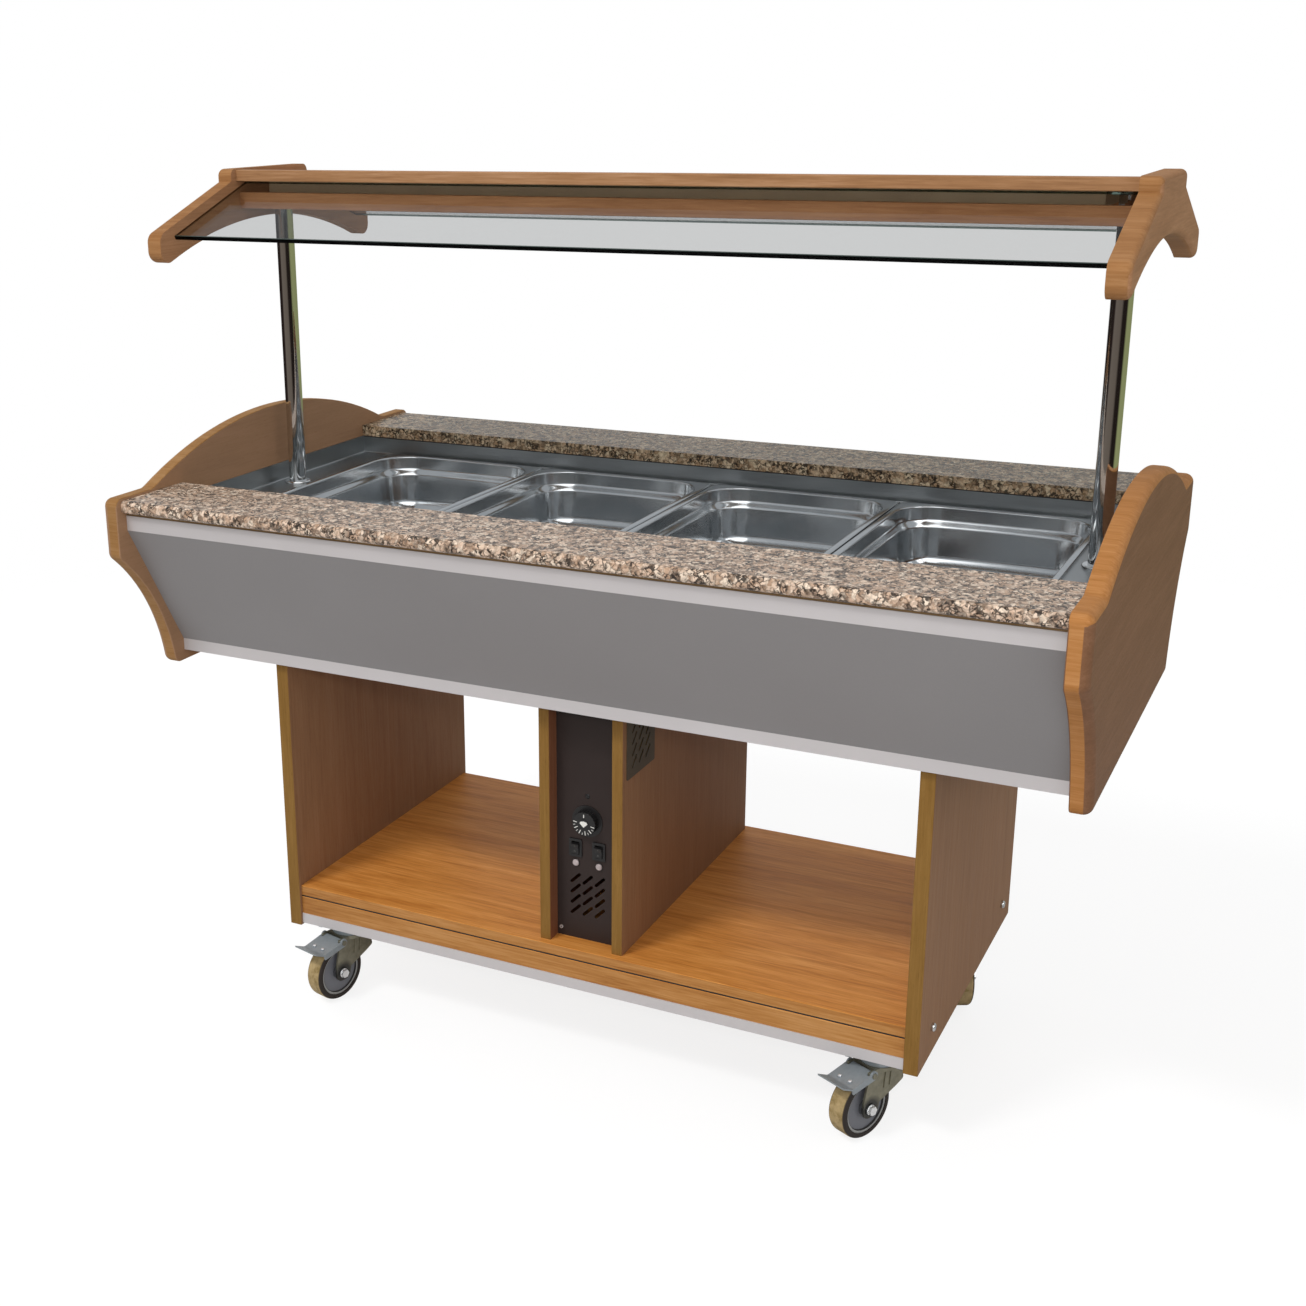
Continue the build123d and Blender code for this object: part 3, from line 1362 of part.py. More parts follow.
    # Wheel hub: boss, flat web and a raised lip under the tyre.
    lip_half = wheel_width / 2 - hub_lip / 2
    with BuildPart() as hub:
        with BuildSketch(axle_plane):
            with BuildLine():
                Polyline(
                    (-wheel_width / 2, hub_bore),
                    (wheel_width / 2, hub_bore),
                    (wheel_width / 2, hub_boss_radius),
                    (hub_web_half, hub_boss_radius),
                    (hub_web_half, hub_radius - hub_lip),
                    (lip_half, hub_radius - hub_lip),
                    (lip_half, hub_radius),
                    (-lip_half, hub_radius),
                    (-lip_half, hub_radius - hub_lip),
                    (-hub_web_half, hub_radius - hub_lip),
                    (-hub_web_half, hub_boss_radius),
                    (-wheel_width / 2, hub_boss_radius),
                    close=True,
                )
            make_face()
        revolve(axis=axle_axis)
    write_piece(hub.part, f"castor_wheel_{name}")

    # Tyre: a ring on the hub with a crowned tread.
    with BuildPart() as tyre:
        with BuildSketch(axle_plane) as tread:
            with Locations((0, hub_radius + tyre_thickness / 2)):
                Rectangle(wheel_width, tyre_thickness)
            fillet(tread.vertices().group_by(Axis.Y)[-1], tyre_thickness * 0.6)
        revolve(axis=axle_axis)
    write_piece(tyre.part, f"castor_tyre_{name}")

    # Brake pedal: a pressed plate that slopes down from its pin, with flanges that run back
    # to the pin outside the fork, a shoe over the tyre, two rivets and an upturned lip.
    # The shoe stops just short of the tyre.
    if braked:
        fall = math.radians(pedal_slope)
        pressed = math.radians(pedal_slope + pedal_travel)
        axle_ahead = castor_trail - pedal_pin_reach
        axle_below = pedal_pin_z - wheel_radius
        shoe_x = axle_ahead * math.cos(pressed) + axle_below * math.sin(pressed)
        tyre_top = axle_ahead * math.sin(pressed) - axle_below * math.cos(pressed) + wheel_radius
        plate_under = pedal_hub_radius - pedal_sheet
        plate_middle = pedal_hub_radius - pedal_sheet / 2
        plate_start = (ear_reach - pedal_pin_reach + fit_gap) / math.cos(pressed)
        lip_end = pedal_length + pedal_lip_run
        pin = foot + trail * pedal_pin_reach + Vector(0, 0, pedal_pin_z)
        downhill = trail * math.cos(fall) - Vector(0, 0, math.sin(fall))
        pedal_side = Plane(pin, x_dir=downhill, z_dir=(-across.X, -across.Y, 0))
        tread_plane = Plane(pin, x_dir=downhill, z_dir=pedal_side.y_dir)
        with BuildPart() as pedal:
            with BuildSketch(pedal_side.offset(fit_gap - fork_inner)):
                Circle(pedal_hub_radius)
                with Locations((0, plate_under)):
                    Rectangle(pedal_length, pedal_sheet, align=Align.MIN)
            extrude(amount=2 * (fork_inner - fit_gap))
            with BuildSketch(pedal_side.offset(-pedal_outer)) as tread:
                with BuildLine():
                    Polyline(
                        (plate_start, plate_under),
                        (pedal_length, plate_under),
                        (lip_end, plate_under + pedal_lip_rise),
                        (lip_end, pedal_hub_radius + pedal_lip_rise),
                        (pedal_length, pedal_hub_radius),
                        (plate_start, pedal_hub_radius),
                        close=True,
                    )
                make_face()
                bends = tread.vertices().filter_by_position(
                    Axis.X, pedal_length - fit_gap, pedal_length + fit_gap
                )
                fillet(bends, pedal_bend)
            extrude(amount=2 * pedal_outer)
            for flank in (-pedal_outer, pedal_inner):
                with BuildSketch(pedal_side.offset(flank)):
                    Circle(pedal_hub_radius + pedal_sheet)
                    with BuildLine():
                        Polyline(
                            (0, pedal_hub_radius),
                            (plate_start, pedal_hub_radius),
                            (pedal_length, plate_middle),
                            (pedal_length, plate_under - pedal_flange),
                            (0, -pedal_hub_radius - pedal_sheet),
                            close=True,
                        )
                    make_face()
                extrude(amount=pedal_sheet)
            with BuildSketch(pedal_side.offset(-wheel_width / 2)):
                with Locations((shoe_x, tyre_top + race_gap)):
                    Rectangle(
                        shoe_length,
                        plate_middle - tyre_top - race_gap,
                        align=(Align.CENTER, Align.MIN),
                    )
            extrude(amount=wheel_width)
            with BuildSketch(tread_plane.offset(pedal_hub_radius)):
                with Locations((pedal_length - pedal_rivet_inset, 0)):
                    with GridLocations(1, pedal_rivet_spread, 1, 2):
                        Circle(pedal_rivet_diameter / 2)
            extrude(amount=pedal_rivet_height)
            with BuildSketch(pedal_side.offset(-pedal_outer)):
                Circle(pedal_pin_diameter / 2 + hub_bore_gap)
            extrude(amount=2 * pedal_outer, mode=Mode.SUBTRACT)
        write_piece(pedal.part, f"brake_pedal_{name}")
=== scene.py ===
# %% [markdown]
# # Hot buffet counter
# A catering counter on castors: four food pans in a steam well, stone shelves on both sides, and a glass
# canopy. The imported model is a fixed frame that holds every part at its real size. This notebook dresses
# that frame with a camera, light, materials and the small prints and seals that are too fine for the solid
# model.

# %% load the frame
import bpy
import bmesh
import json
import math
from mathutils import Matrix, Vector


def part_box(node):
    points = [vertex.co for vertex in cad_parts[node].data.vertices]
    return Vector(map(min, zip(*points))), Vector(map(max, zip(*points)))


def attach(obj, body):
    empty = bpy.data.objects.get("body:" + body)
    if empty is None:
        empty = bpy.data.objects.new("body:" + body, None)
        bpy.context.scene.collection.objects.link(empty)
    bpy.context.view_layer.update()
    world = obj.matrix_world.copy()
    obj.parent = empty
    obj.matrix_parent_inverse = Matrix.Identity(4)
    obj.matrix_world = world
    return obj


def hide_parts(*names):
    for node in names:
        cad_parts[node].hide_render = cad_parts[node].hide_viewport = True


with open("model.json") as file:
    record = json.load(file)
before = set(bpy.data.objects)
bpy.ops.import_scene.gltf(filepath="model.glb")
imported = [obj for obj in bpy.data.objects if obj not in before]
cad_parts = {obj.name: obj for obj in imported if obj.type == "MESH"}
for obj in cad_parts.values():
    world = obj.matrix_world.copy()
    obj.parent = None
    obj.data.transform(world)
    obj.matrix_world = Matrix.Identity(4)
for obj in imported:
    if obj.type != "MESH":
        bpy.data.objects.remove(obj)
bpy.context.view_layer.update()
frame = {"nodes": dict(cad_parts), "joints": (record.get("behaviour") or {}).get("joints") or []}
nodes = frame["nodes"]
joints = {joint["name"]: joint for joint in frame["joints"]}

# %% [markdown]
# ## Camera
# The photograph is a square crop, so its optical centre isn't in the middle of the frame. One could aim a
# camera by eye, but here its place and turn come from a fit to the counter's known edges, and the lens is
# shifted by the crop's offset, so every edge falls where the photograph has it.

# %% camera
PHOTO = 1306
FOCAL_PX = 1724.2
CENTRE_PX = (506.2, 627.2)
EYE = Vector((1.0639, -2.4768, 1.4878))
RIGHT = Vector((0.882553, 0.469954, -0.015627))
DOWN = Vector((0.126496, -0.269300, -0.954713))
AHEAD = Vector((-0.452879, 0.840608, -0.297119))

lens = bpy.data.cameras.new("camera")
lens.sensor_width = 36
lens.lens = FOCAL_PX / PHOTO * lens.sensor_width
lens.shift_x = (PHOTO / 2 - CENTRE_PX[0]) / PHOTO
lens.shift_y = (CENTRE_PX[1] - PHOTO / 2) / PHOTO
lens.clip_end = 100
camera = bpy.data.objects.new("camera", lens)
turn = Matrix((RIGHT, -DOWN, -AHEAD)).transposed()
camera.matrix_world = Matrix.Translation(EYE) @ turn.to_4x4()
bpy.context.collection.objects.link(camera)
bpy.context.scene.camera = camera
bpy.context.scene.view_settings.view_transform = "Standard"
print("lens", round(lens.lens, 2), "shift", round(lens.shift_x, 4), round(lens.shift_y, 4))

# %% [markdown]
# ## Building materials from nodes
# Every finish here is drawn by shader nodes, with no pictures. Four small tools are enough: one turns a
# written colour into the linear numbers that a renderer needs, one adds any node with its settings and
# links, one starts an empty material, and one makes an irregular pattern whose features have a size in
# millimetres along each axis of the part.

# %% colour and node tools
def srgb(code):
    """Linear RGBA of an sRGB hex colour."""
    parts = [int(code[i:i + 2], 16) / 255 for i in (1, 3, 5)]
    linear = [p / 12.92 if p <= 0.04045 else ((p + 0.055) / 1.055) ** 2.4 for p in parts]
    return (*linear, 1.0)


def add(tree, kind, *feeds, stops=(), hard=False, **options):
    """Add a node. Feeds fill its open sockets in order, options set properties or sockets by name.

    A feed or option that is a node or a socket is linked, and any other value is set.
    """
    made = tree.nodes.new("ShaderNode" + kind)
    for key in [key for key in options if hasattr(made, key)]:
        setattr(made, key, options.pop(key))
    if stops:
        made.color_ramp.interpolation = "CONSTANT" if hard else "LINEAR"
        for extra in stops[2:]:
            made.color_ramp.elements.new(1.0)
        for element, (place, code) in zip(made.color_ramp.elements, stops):
            element.position = place
            element.color = srgb(code)
    filled = list(zip([socket for socket in made.inputs if socket.enabled], feeds))
    filled += [(made.inputs[key.replace("_", " ")], value) for key, value in options.items()]
    for socket, value in filled:
        if isinstance(value, bpy.types.Node):
            value = next(out for out in value.outputs if out.enabled)
        if isinstance(value, bpy.types.NodeSocket):
            tree.links.new(value, socket)
        else:
            socket.default_value = value
    return made


print("mid grey in linear light", round(srgb("#808080")[0], 3))


# %% material and pattern tools
def blank(name):
    """A new material with an empty node tree."""
    material = bpy.data.materials.new(name)
    material.use_nodes = True
    material.node_tree.nodes.clear()
    return material, material.node_tree


def mottle(tree, along_x, along_y, along_z, **options):
    """Noise whose features measure the given millimetres along the part's axes."""
    where = add(tree, "TexCoord").outputs["Object"]
    scale = (1000 / along_x, 1000 / along_y, 1000 / along_z)
    sized = add(tree, "Mapping", Vector=where, Scale=scale)
    return add(tree, "TexNoise", Vector=sized, Scale=1.0, **options)


print("tools ready")

# %% [markdown]
# ## Beech
# The shelf, plinth and canopy boards are beech-faced, with a satin lacquer. Beech has fine fibre streaks,
# short dashes, slow bands of tone and dark flecks, all drawn out along the grain. Stretched noise gives all
# four: the same pattern is long along the grain and narrow across it. Real fibres are finer than a pixel
# here, so they are drawn about three times as coarse. The bearers and cleats inside are spruce, by the same
# recipe, in tones painted dark as shade, since the bearers show in the shaded gap under the stones.

# %% beech
def beech_grain(tree, grain, tones, fibre=3.2):
    """Colour, height and fibres of beech with its grain along X, Y or Z. Tones run dark, middle, light."""
    def run(along, across, **options):
        """Noise with features of so many millimetres along and across the grain."""
        sizes = [along if axis == grain else across for axis in "XYZ"]
        return mottle(tree, *sizes, **options)
    fibres = run(150, fibre, Detail=6.0, Roughness=0.6, Distortion=0.4)
    bands = run(420, 38, Detail=3.0, Distortion=1.6)
    dashes = run(46, 3.0, Detail=2.0, Distortion=0.5)
    flecks = run(14, 1.1, Detail=2.0)
    streaks = add(tree, "Mix", 0.45, fibres, dashes)
    both = add(tree, "Mix", 0.4, streaks, bands)
    colour = add(tree, "ValToRGB", both, stops=((0.36, tones[0]), (0.5, tones[1]), (0.64, tones[2])))
    dark = add(tree, "MapRange", flecks, 0.60, 0.74, 0.0, 0.22)
    deep = add(tree, "Mix", dark, colour, srgb(tones[0]), data_type="RGBA", blend_type="MULTIPLY")
    height = add(tree, "Math", fibres, dark, operation="SUBTRACT")
    return deep, height, fibres


def lacquered_beech(name, grain, tones, side_shade="#FFFFFF"):
    """Beech board. Its edges are banded in the same wood, and the faces that don't look up are multiplied by a
    colour, which is painted shade where it isn't white.
    """
    material, tree = blank(name)
    face, height, fibres = beech_grain(tree, grain, tones)
    upright = add(tree, "SeparateXYZ", add(tree, "TexCoord").outputs["Normal"])
    edge = add(tree, "MapRange", upright.outputs["Z"], 0.4, 0.6, 1.0, 0.0)
    colour = add(tree, "Mix", edge, face, srgb(side_shade), data_type="RGBA", blend_type="MULTIPLY")
    rough = add(tree, "MapRange", fibres, 0.3, 0.7, 0.42, 0.56)
    relief = add(tree, "Bump", Height=height, Distance=0.00012, Strength=0.35)
    shader = add(tree, "BsdfPrincipled", Base_Color=colour, Roughness=rough, Normal=relief,
                 Specular_IOR_Level=0.3)
    add(tree, "OutputMaterial", shader)
    return material


# The shelf's and rails' sides are multiplied by a pale blue-grey: painted shade, so that the lit front doesn't
# read lighter than the top.
shelf_beech = lacquered_beech("lacquered_beech_shelf", "X", ("#AE6A29", "#CB863E", "#DE9C55"), "#DDE7FF")
canopy_beech = lacquered_beech("lacquered_beech_canopy", "X", ("#8A6240", "#A0754F", "#B38965"))
# The fascias get a darker copy of the canopy beech: painted shade, for where they sit under the canopy board.
fascia_beech_painted_shade = lacquered_beech("lacquered_beech_fascia_painted_shade", "X", ("#93613C", "#A9754E", "#B9845A"))
# The spruce tones are dark as painted shade, where the bearers show in the gap under the stones.
spruce = lacquered_beech("planed_spruce_painted_shade", "X", ("#6E5638", "#7C6344", "#8A7050"))
print("wood finishes", [wood.name for wood in (shelf_beech, canopy_beech, fascia_beech_painted_shade, spruce)])

# %% [markdown]
# ## Brown laminate with edging
# The leg, column, end and bracket boards are brown melamine laminate with the edges banded in another tone.
# The join follows the board's form, so it can be found from the direction that the surface faces: the large
# faces look along X. On the end boards the laminate is drawn round the upright edges, and the top edge is
# bare beech. The left end board has its own copy of the laminate, painted lighter on its faces and darker on
# its edges: painted light and shade on the left end. The left column board has its own copy too, darker and
# redder: painted shade and a painted reflection of the shelf.

# %% laminate boards
LAMINATE_FIBRE = 5.0


def edged_board(name, edge_grain, edge_tones, face_grain, face_tones, low, high, top_share=0.0):
    """Board whose faces across X are laminate, from a low to a high share of X in the way that they look.

    A top share keeps the laminate off edges that look up.
    """
    material, tree = blank(name)
    edge, height, fibres = beech_grain(tree, edge_grain, edge_tones)
    face = beech_grain(tree, face_grain, face_tones, LAMINATE_FIBRE)[0]
    normal = add(tree, "SeparateXYZ", add(tree, "TexCoord").outputs["Normal"])
    sideways = add(tree, "Math", normal.outputs["X"], operation="ABSOLUTE")
    upward = add(tree, "Math", normal.outputs["Z"], 0.0, operation="MAXIMUM")
    held = add(tree, "Math", upward, top_share, operation="MULTIPLY")
    outward = add(tree, "Math", sideways, held, operation="SUBTRACT")
    share = add(tree, "MapRange", outward, low, high)
    colour = add(tree, "Mix", share, edge, face, data_type="RGBA")
    rough = add(tree, "MapRange", fibres, 0.3, 0.7, 0.55, 0.68)
    relief = add(tree, "Bump", Height=height, Distance=0.0001, Strength=0.3)
    shader = add(tree, "BsdfPrincipled", Base_Color=colour, Roughness=rough, Normal=relief,
                 Specular_IOR_Level=0.2)
    add(tree, "OutputMaterial", shader)
    return material


print("laminate fibres of", LAMINATE_FIBRE, "mm")

# %% laminate tones
# Low and high share of X where the laminate starts, and how strongly a look upward holds it off.
WRAPPED, SOFT_EDGED, SQUARE = (0.16, 0.22, 3.0), (0.5, 0.6, 1.5), (0.75, 0.9)
OCHRE = ("#7A5826", "#84612E", "#8E6B37")

end_board = edged_board("beech_edged_laminate", "X", ("#9F6934", "#AE7743", "#BB8653"),
                        "Y", ("#765239", "#7E593F", "#876147"), *WRAPPED)
# The left end board's copy is painted lighter on its faces and darker on its edges than the right one's:
# painted light and shade.
end_board_painted_light = edged_board("beech_edged_laminate_painted_light", "X", ("#8A6135", "#987044", "#A57E54"),
                             "Y", ("#987559", "#9E7A5C", "#A37E61"), *WRAPPED)
bracket_board = edged_board("beech_bracket", "X", ("#8B5E35", "#9A6D43", "#A97D53"),
                            "Y", ("#956B4B", "#A37754", "#B18461"), *SOFT_EDGED)
leg_board = edged_board("ochre_edged_laminate", "Z", OCHRE,
                        "Z", ("#866347", "#8F6A4C", "#967153"), *SQUARE)
# The left column board's copy of the laminate is darker and redder than the legs': painted shade and a painted
# reflection of the shelf.
column_board_painted_shade = edged_board("ochre_edged_laminate_painted_shade", "Z", OCHRE,
                           "Z", ("#74482F", "#7D5037", "#86583F"), *SQUARE)
print("laminates", end_board.name, end_board_painted_light.name, bracket_board.name, leg_board.name, column_board_painted_shade.name)

# %% [markdown]
# ## Grey laminate, stone and glass
# The sloping valances are plain matte grey laminate: almost one tone, with a fine fleck that breaks the
# gloss. The shelves are polished granite, which is a mass of interlocking crystals. Voronoi cells bent by
# noise give the crystals, the distance to a cell's border gives the dark mica between them, and larger
# noise gathers black patches. The canopy panes are float glass. Real glass has an IOR near 1.5, and it is
# lower here because the photograph's panes show hardly any reflections. A renderer would block lamp light
# at clear glass, so shadow rays pass straight through it, and the cut edges, which look along the sheet,
# are dark green.

# %% grey laminate
def grey_laminate(name):
    """Matte grey melamine with a very fine fleck."""
    material, tree = blank(name)
    fleck = mottle(tree, 0.9, 0.9, 0.9, Detail=2.0)
    cloud = mottle(tree, 260, 260, 260, Detail=2.0)
    tone = add(tree, "Mix", 0.4, fleck, cloud)
    colour = add(tree, "ValToRGB", tone, stops=((0.3, "#898686"), (0.7, "#908D8D")))
    relief = add(tree, "Bump", Height=fleck, Distance=0.00003, Strength=0.5)
    shader = add(tree, "BsdfPrincipled", Base_Color=colour, Roughness=0.6, Normal=relief,
                 Specular_IOR_Level=0.25)
    add(tree, "OutputMaterial", shader)
    return material


valance_grey = grey_laminate("grey_melamine")
print(valance_grey.name, "with", len(valance_grey.node_tree.nodes), "nodes")

# %% granite
CRYSTALS = ((0.0, "#746255"), (0.12, "#CBAD95"), (0.34, "#E2C9B3"), (0.56, "#B3947B"), (0.72, "#EEDBC6"),
            (0.90, "#8D7866"))
CRYSTAL_MM = 8.0
CRYSTAL_BEND = 0.009  # metres
GRIT_MM = 3.5
PATCH_MM = 16


def granite(name, cast):
    """Polished granite: pink and cream crystals with dark mica between them. The cast multiplies the whole
    slab, and any cast darker than white is painted shade.
    """
    material, tree = blank(name)
    where = add(tree, "TexCoord").outputs["Object"]
    swirl = add(tree, "TexNoise", Vector=where, Scale=1000 / CRYSTAL_MM, Detail=3.0).outputs["Color"]
    centred = add(tree, "VectorMath", swirl, (0.5, 0.5, 0.5), operation="SUBTRACT")
    push = add(tree, "VectorMath", centred, CRYSTAL_BEND, operation="SCALE")
    bent = add(tree, "VectorMath", where, push, operation="ADD")
    cells = add(tree, "TexVoronoi", Vector=bent, Scale=1000 / CRYSTAL_MM).outputs["Color"]
    border = add(tree, "TexVoronoi", Vector=bent, Scale=1000 / CRYSTAL_MM, feature="DISTANCE_TO_EDGE")
    grit = add(tree, "TexVoronoi", Vector=bent, Scale=1000 / GRIT_MM).outputs["Color"]
    pick = add(tree, "SeparateColor", cells)
    fine = add(tree, "SeparateColor", grit)
    crystal = add(tree, "ValToRGB", pick, stops=CRYSTALS, hard=True)
    speck = add(tree, "ValToRGB", fine, stops=CRYSTALS, hard=True)
    body = add(tree, "Mix", 0.35, crystal, speck, data_type="RGBA")
    seam = add(tree, "MapRange", border, 0.03, 0.14, 0.85, 0.0)
    gathered = mottle(tree, PATCH_MM, PATCH_MM, PATCH_MM, Detail=3.0, Roughness=0.6)
    dark = add(tree, "MapRange", gathered, 0.40, 0.55, 0.25, 1.0)
    mica = add(tree, "Math", seam, dark, operation="MULTIPLY")
    black = add(tree, "MapRange", fine.outputs["Green"], 0.68, 0.70, 0.0, 0.92)
    spots = add(tree, "Math", black, dark, operation="MULTIPLY")
    shade = add(tree, "Math", mica, spots, operation="MAXIMUM")
    stone = add(tree, "Mix", shade, body, srgb("#231F1D"), data_type="RGBA")
    colour = add(tree, "Mix", 1.0, stone, srgb(cast), data_type="RGBA", blend_type="MULTIPLY")
    rough = add(tree, "MapRange", fine.outputs["Blue"], 0.0, 1.0, 0.22, 0.36)
    shader = add(tree, "BsdfPrincipled", Base_Color=colour, Roughness=rough, Specular_IOR_Level=0.2)
    add(tree, "OutputMaterial", shader)
    return material


front_stone = granite("polished_granite_front", "#FFFFFF")
# The rear slab's darker cast is painted shade: the canopy roof's shadow on it.
rear_stone_painted_shade = granite("polished_granite_rear_painted_shade", "#D2D0C2")
print("granite ready, crystals of", CRYSTAL_MM, "mm")

# %% glass
def float_glass(name):
    """Clear sheet glass with dark green cut edges."""
    material, tree = blank(name)
    normal = add(tree, "SeparateXYZ", add(tree, "TexCoord").outputs["Normal"])
    flatness = add(tree, "Math", normal.outputs["Z"], operation="ABSOLUTE")
    share = add(tree, "MapRange", flatness, 0.5, 0.7)
    tint = add(tree, "Mix", share, srgb("#1E2F28"), srgb("#CDCECE"), data_type="RGBA")
    shader = add(tree, "BsdfPrincipled", Base_Color=tint, Roughness=0.0, IOR=1.15, Transmission_Weight=1.0)
    light = add(tree, "LightPath")
    passing = add(tree, "Math", light.outputs["Is Shadow Ray"], light.outputs["Is Diffuse Ray"],
                  operation="MAXIMUM")
    through = add(tree, "BsdfTransparent", srgb("#EEF0F0"))
    both = add(tree, "MixShader", passing, shader, through)
    add(tree, "OutputMaterial", both)
    return material


pane_glass = float_glass("float_glass")
print(pane_glass.name, "with", len(pane_glass.node_tree.nodes), "nodes")

# %% [markdown]
# ## Metals
# The well and pans are stainless sheet: the deck is brushed along X and the deep-drawn pans are smoother,
# with a faint cloudiness where the sheet stretched. Posts and leg bolts are chrome plated, the panel screws
# bright plated, the strips anodised aluminium, and the castor pressings zinc plated. A metal's whole colour
# is its reflection, so each one needs only a tint, a roughness and a slight relief, whose direction is the
# way that it was worked. Zinc and the anodised film also scatter light, so these are only partly metallic.
# The bright plating is partly metallic too, and its near-white diffuse share is a painted highlight.

# %% brushed steel
def worked_metal(name, tones, rough, worked, depth_mm=0.02, strength=0.3, metallic=1.0):
    """Metal whose brushing, drawing or plating has features of the given millimetres."""
    material, tree = blank(name)
    lines = mottle(tree, *worked, Detail=4.0, Roughness=0.6)
    cloud = mottle(tree, 120, 120, 120, Detail=3.0)
    tone = add(tree, "Mix", 0.5, lines, cloud)
    colour = add(tree, "ValToRGB", tone, stops=((0.3, tones[0]), (0.7, tones[1])))
    gloss = add(tree, "MapRange", tone, 0.3, 0.7, *rough)
    relief = add(tree, "Bump", Height=lines, Distance=depth_mm / 1000, Strength=strength)
    shader = add(tree, "BsdfPrincipled", Base_Color=colour, Metallic=metallic, Roughness=gloss, Normal=relief)
    add(tree, "OutputMaterial", shader)
    return material


deck_steel = worked_metal("brushed_stainless", ("#9A9D9E", "#A9ACAD"), (0.28, 0.36), (60, 0.8, 0.8))
print(deck_steel.name, "with", len(deck_steel.node_tree.nodes), "nodes")


# %% drawn steel
def drawn_steel(name):
    """Deep-drawn stainless: smooth, with a faint cloudiness."""
    material, tree = blank(name)
    cloud = mottle(tree, 60, 60, 60, Detail=3.0)
    colour = add(tree, "ValToRGB", cloud, stops=((0.3, "#B8BBBD"), (0.7, "#C2C4C5")))
    gloss = add(tree, "MapRange", cloud, 0.3, 0.7, 0.13, 0.17)
    shader = add(tree, "BsdfPrincipled", Base_Color=colour, Metallic=1.0, Roughness=gloss)
    add(tree, "OutputMaterial", shader)
    return material


pan_steel = drawn_steel("drawn_stainless")
print(pan_steel.name, "with", len(pan_steel.node_tree.nodes), "nodes")

# %% plated metals
chrome = worked_metal("chrome_plate", ("#CFD0D0", "#DADBDB"), (0.04, 0.08), (30, 30, 90), 0.01, 0.03)
zinc = worked_metal("zinc_plate", ("#8F979C", "#A4ABAF"), (0.4, 0.5), (7, 7, 7), 0.05, 0.25, 0.45)
# The bright plating's near-white diffuse share is a painted highlight over real plating.
plated = worked_metal("plated_steel_painted_highlight", ("#E6E7E8", "#F2F3F4"), (0.2, 0.3), (3, 3, 3), 0.01, 0.1, 0.6)
brass = worked_metal("dull_brass", ("#8E7443", "#A88C58"), (0.3, 0.5), (5, 5, 5), 0.04, 0.3)
oxide_steel = worked_metal("oxidised_element_tube", ("#55504C", "#6E6864"), (0.4, 0.6), (8, 8, 8), 0.05, 0.3)
aluminium = worked_metal("anodised_aluminium", ("#CBC6C6", "#D2CDCD"), (0.5, 0.6), (80, 0.6, 0.6),
                         0.02, 0.2, 0.35)
print("metals", [metal.name for metal in (chrome, zinc, plated, brass, oxide_steel, aluminium)])

# %% [markdown]
# ## Paint, plastic, print and silicone
# The control panel is powder coated, which dries with a fine orange-peel skin. Knob, switches and gland are
# moulded black plastic, the lever's grip is dipped vinyl, and the stones are bedded on silicone. One recipe
# serves them all: two close tones, a gloss that varies with the skin, and the skin's relief, each with its
# own grain size.

# %% powder coat
def skinned(name, tones, rough, grain_mm, depth_mm, strength=0.4, **sockets):
    """Paint, plastic or rubber with a fine skin and a slow change of tone."""
    material, tree = blank(name)
    skin = mottle(tree, grain_mm, grain_mm, grain_mm, Detail=3.0)
    cloud = mottle(tree, 90, 90, 90, Detail=2.0)
    tone = add(tree, "Mix", 0.6, skin, cloud)
    colour = add(tree, "ValToRGB", tone, stops=((0.3, tones[0]), (0.7, tones[1])))
    gloss = add(tree, "MapRange", skin, 0.3, 0.7, *rough)
    relief = add(tree, "Bump", Height=skin, Distance=depth_mm / 1000, Strength=strength)
    shader = add(tree, "BsdfPrincipled", Base_Color=colour, Roughness=gloss, Normal=relief, **sockets)
    add(tree, "OutputMaterial", shader)
    return material


panel_paint = skinned("brown_black_powder_coat", ("#2E2523", "#362C29"), (0.5, 0.62), 0.9, 0.05,
                      Specular_IOR_Level=0.25)
print(panel_paint.name, "with", len(panel_paint.node_tree.nodes), "nodes")

# %% paint and plastic
grille_paint = skinned("grey_powder_coat", ("#463E33", "#50483C"), (0.5, 0.65), 0.9, 0.05,
                       Specular_IOR_Level=0.25)
black_plastic = skinned("moulded_black_plastic", ("#131212", "#1D1C1C"), (0.3, 0.45), 0.6, 0.03)
lever_paint = skinned("lever_enamel", ("#2C2C2E", "#383839"), (0.25, 0.4), 1.2, 0.04)
grip_vinyl = skinned("grip_vinyl", ("#6B1F1B", "#7A2822"), (0.4, 0.55), 1.0, 0.05)
lens_plastic = skinned("pilot_lens", ("#8C7F7E", "#C4B7B5"), (0.12, 0.2), 2.4, 0.06, 0.5, Coat_Weight=0.5)
white_print = skinned("white_print", ("#DAD8D2", "#E6E4DE"), (0.4, 0.5), 0.5, 0.01)
grey_print = skinned("grey_print", ("#55534F", "#62605C"), (0.4, 0.5), 0.5, 0.01)
# A near-black finish for the screws' cross recesses: painted shade.
painted_recess_shade = skinned("painted_recess_shade", ("#0E0D0D", "#161515"), (0.5, 0.7), 0.8, 0.02)
glass_edge = skinned("ground_glass_edge", ("#25332D", "#2E3D36"), (0.3, 0.5), 0.5, 0.01)
# This black finish is the stone's silicone seal, and also the painted shadow in the gap under the shelf.
seal_and_painted_shadow = skinned("black_silicone_seal_and_painted_shadow", ("#171615", "#211F1E"), (0.35, 0.5), 1.5, 0.05)
print("finishes so far", len(bpy.data.materials))

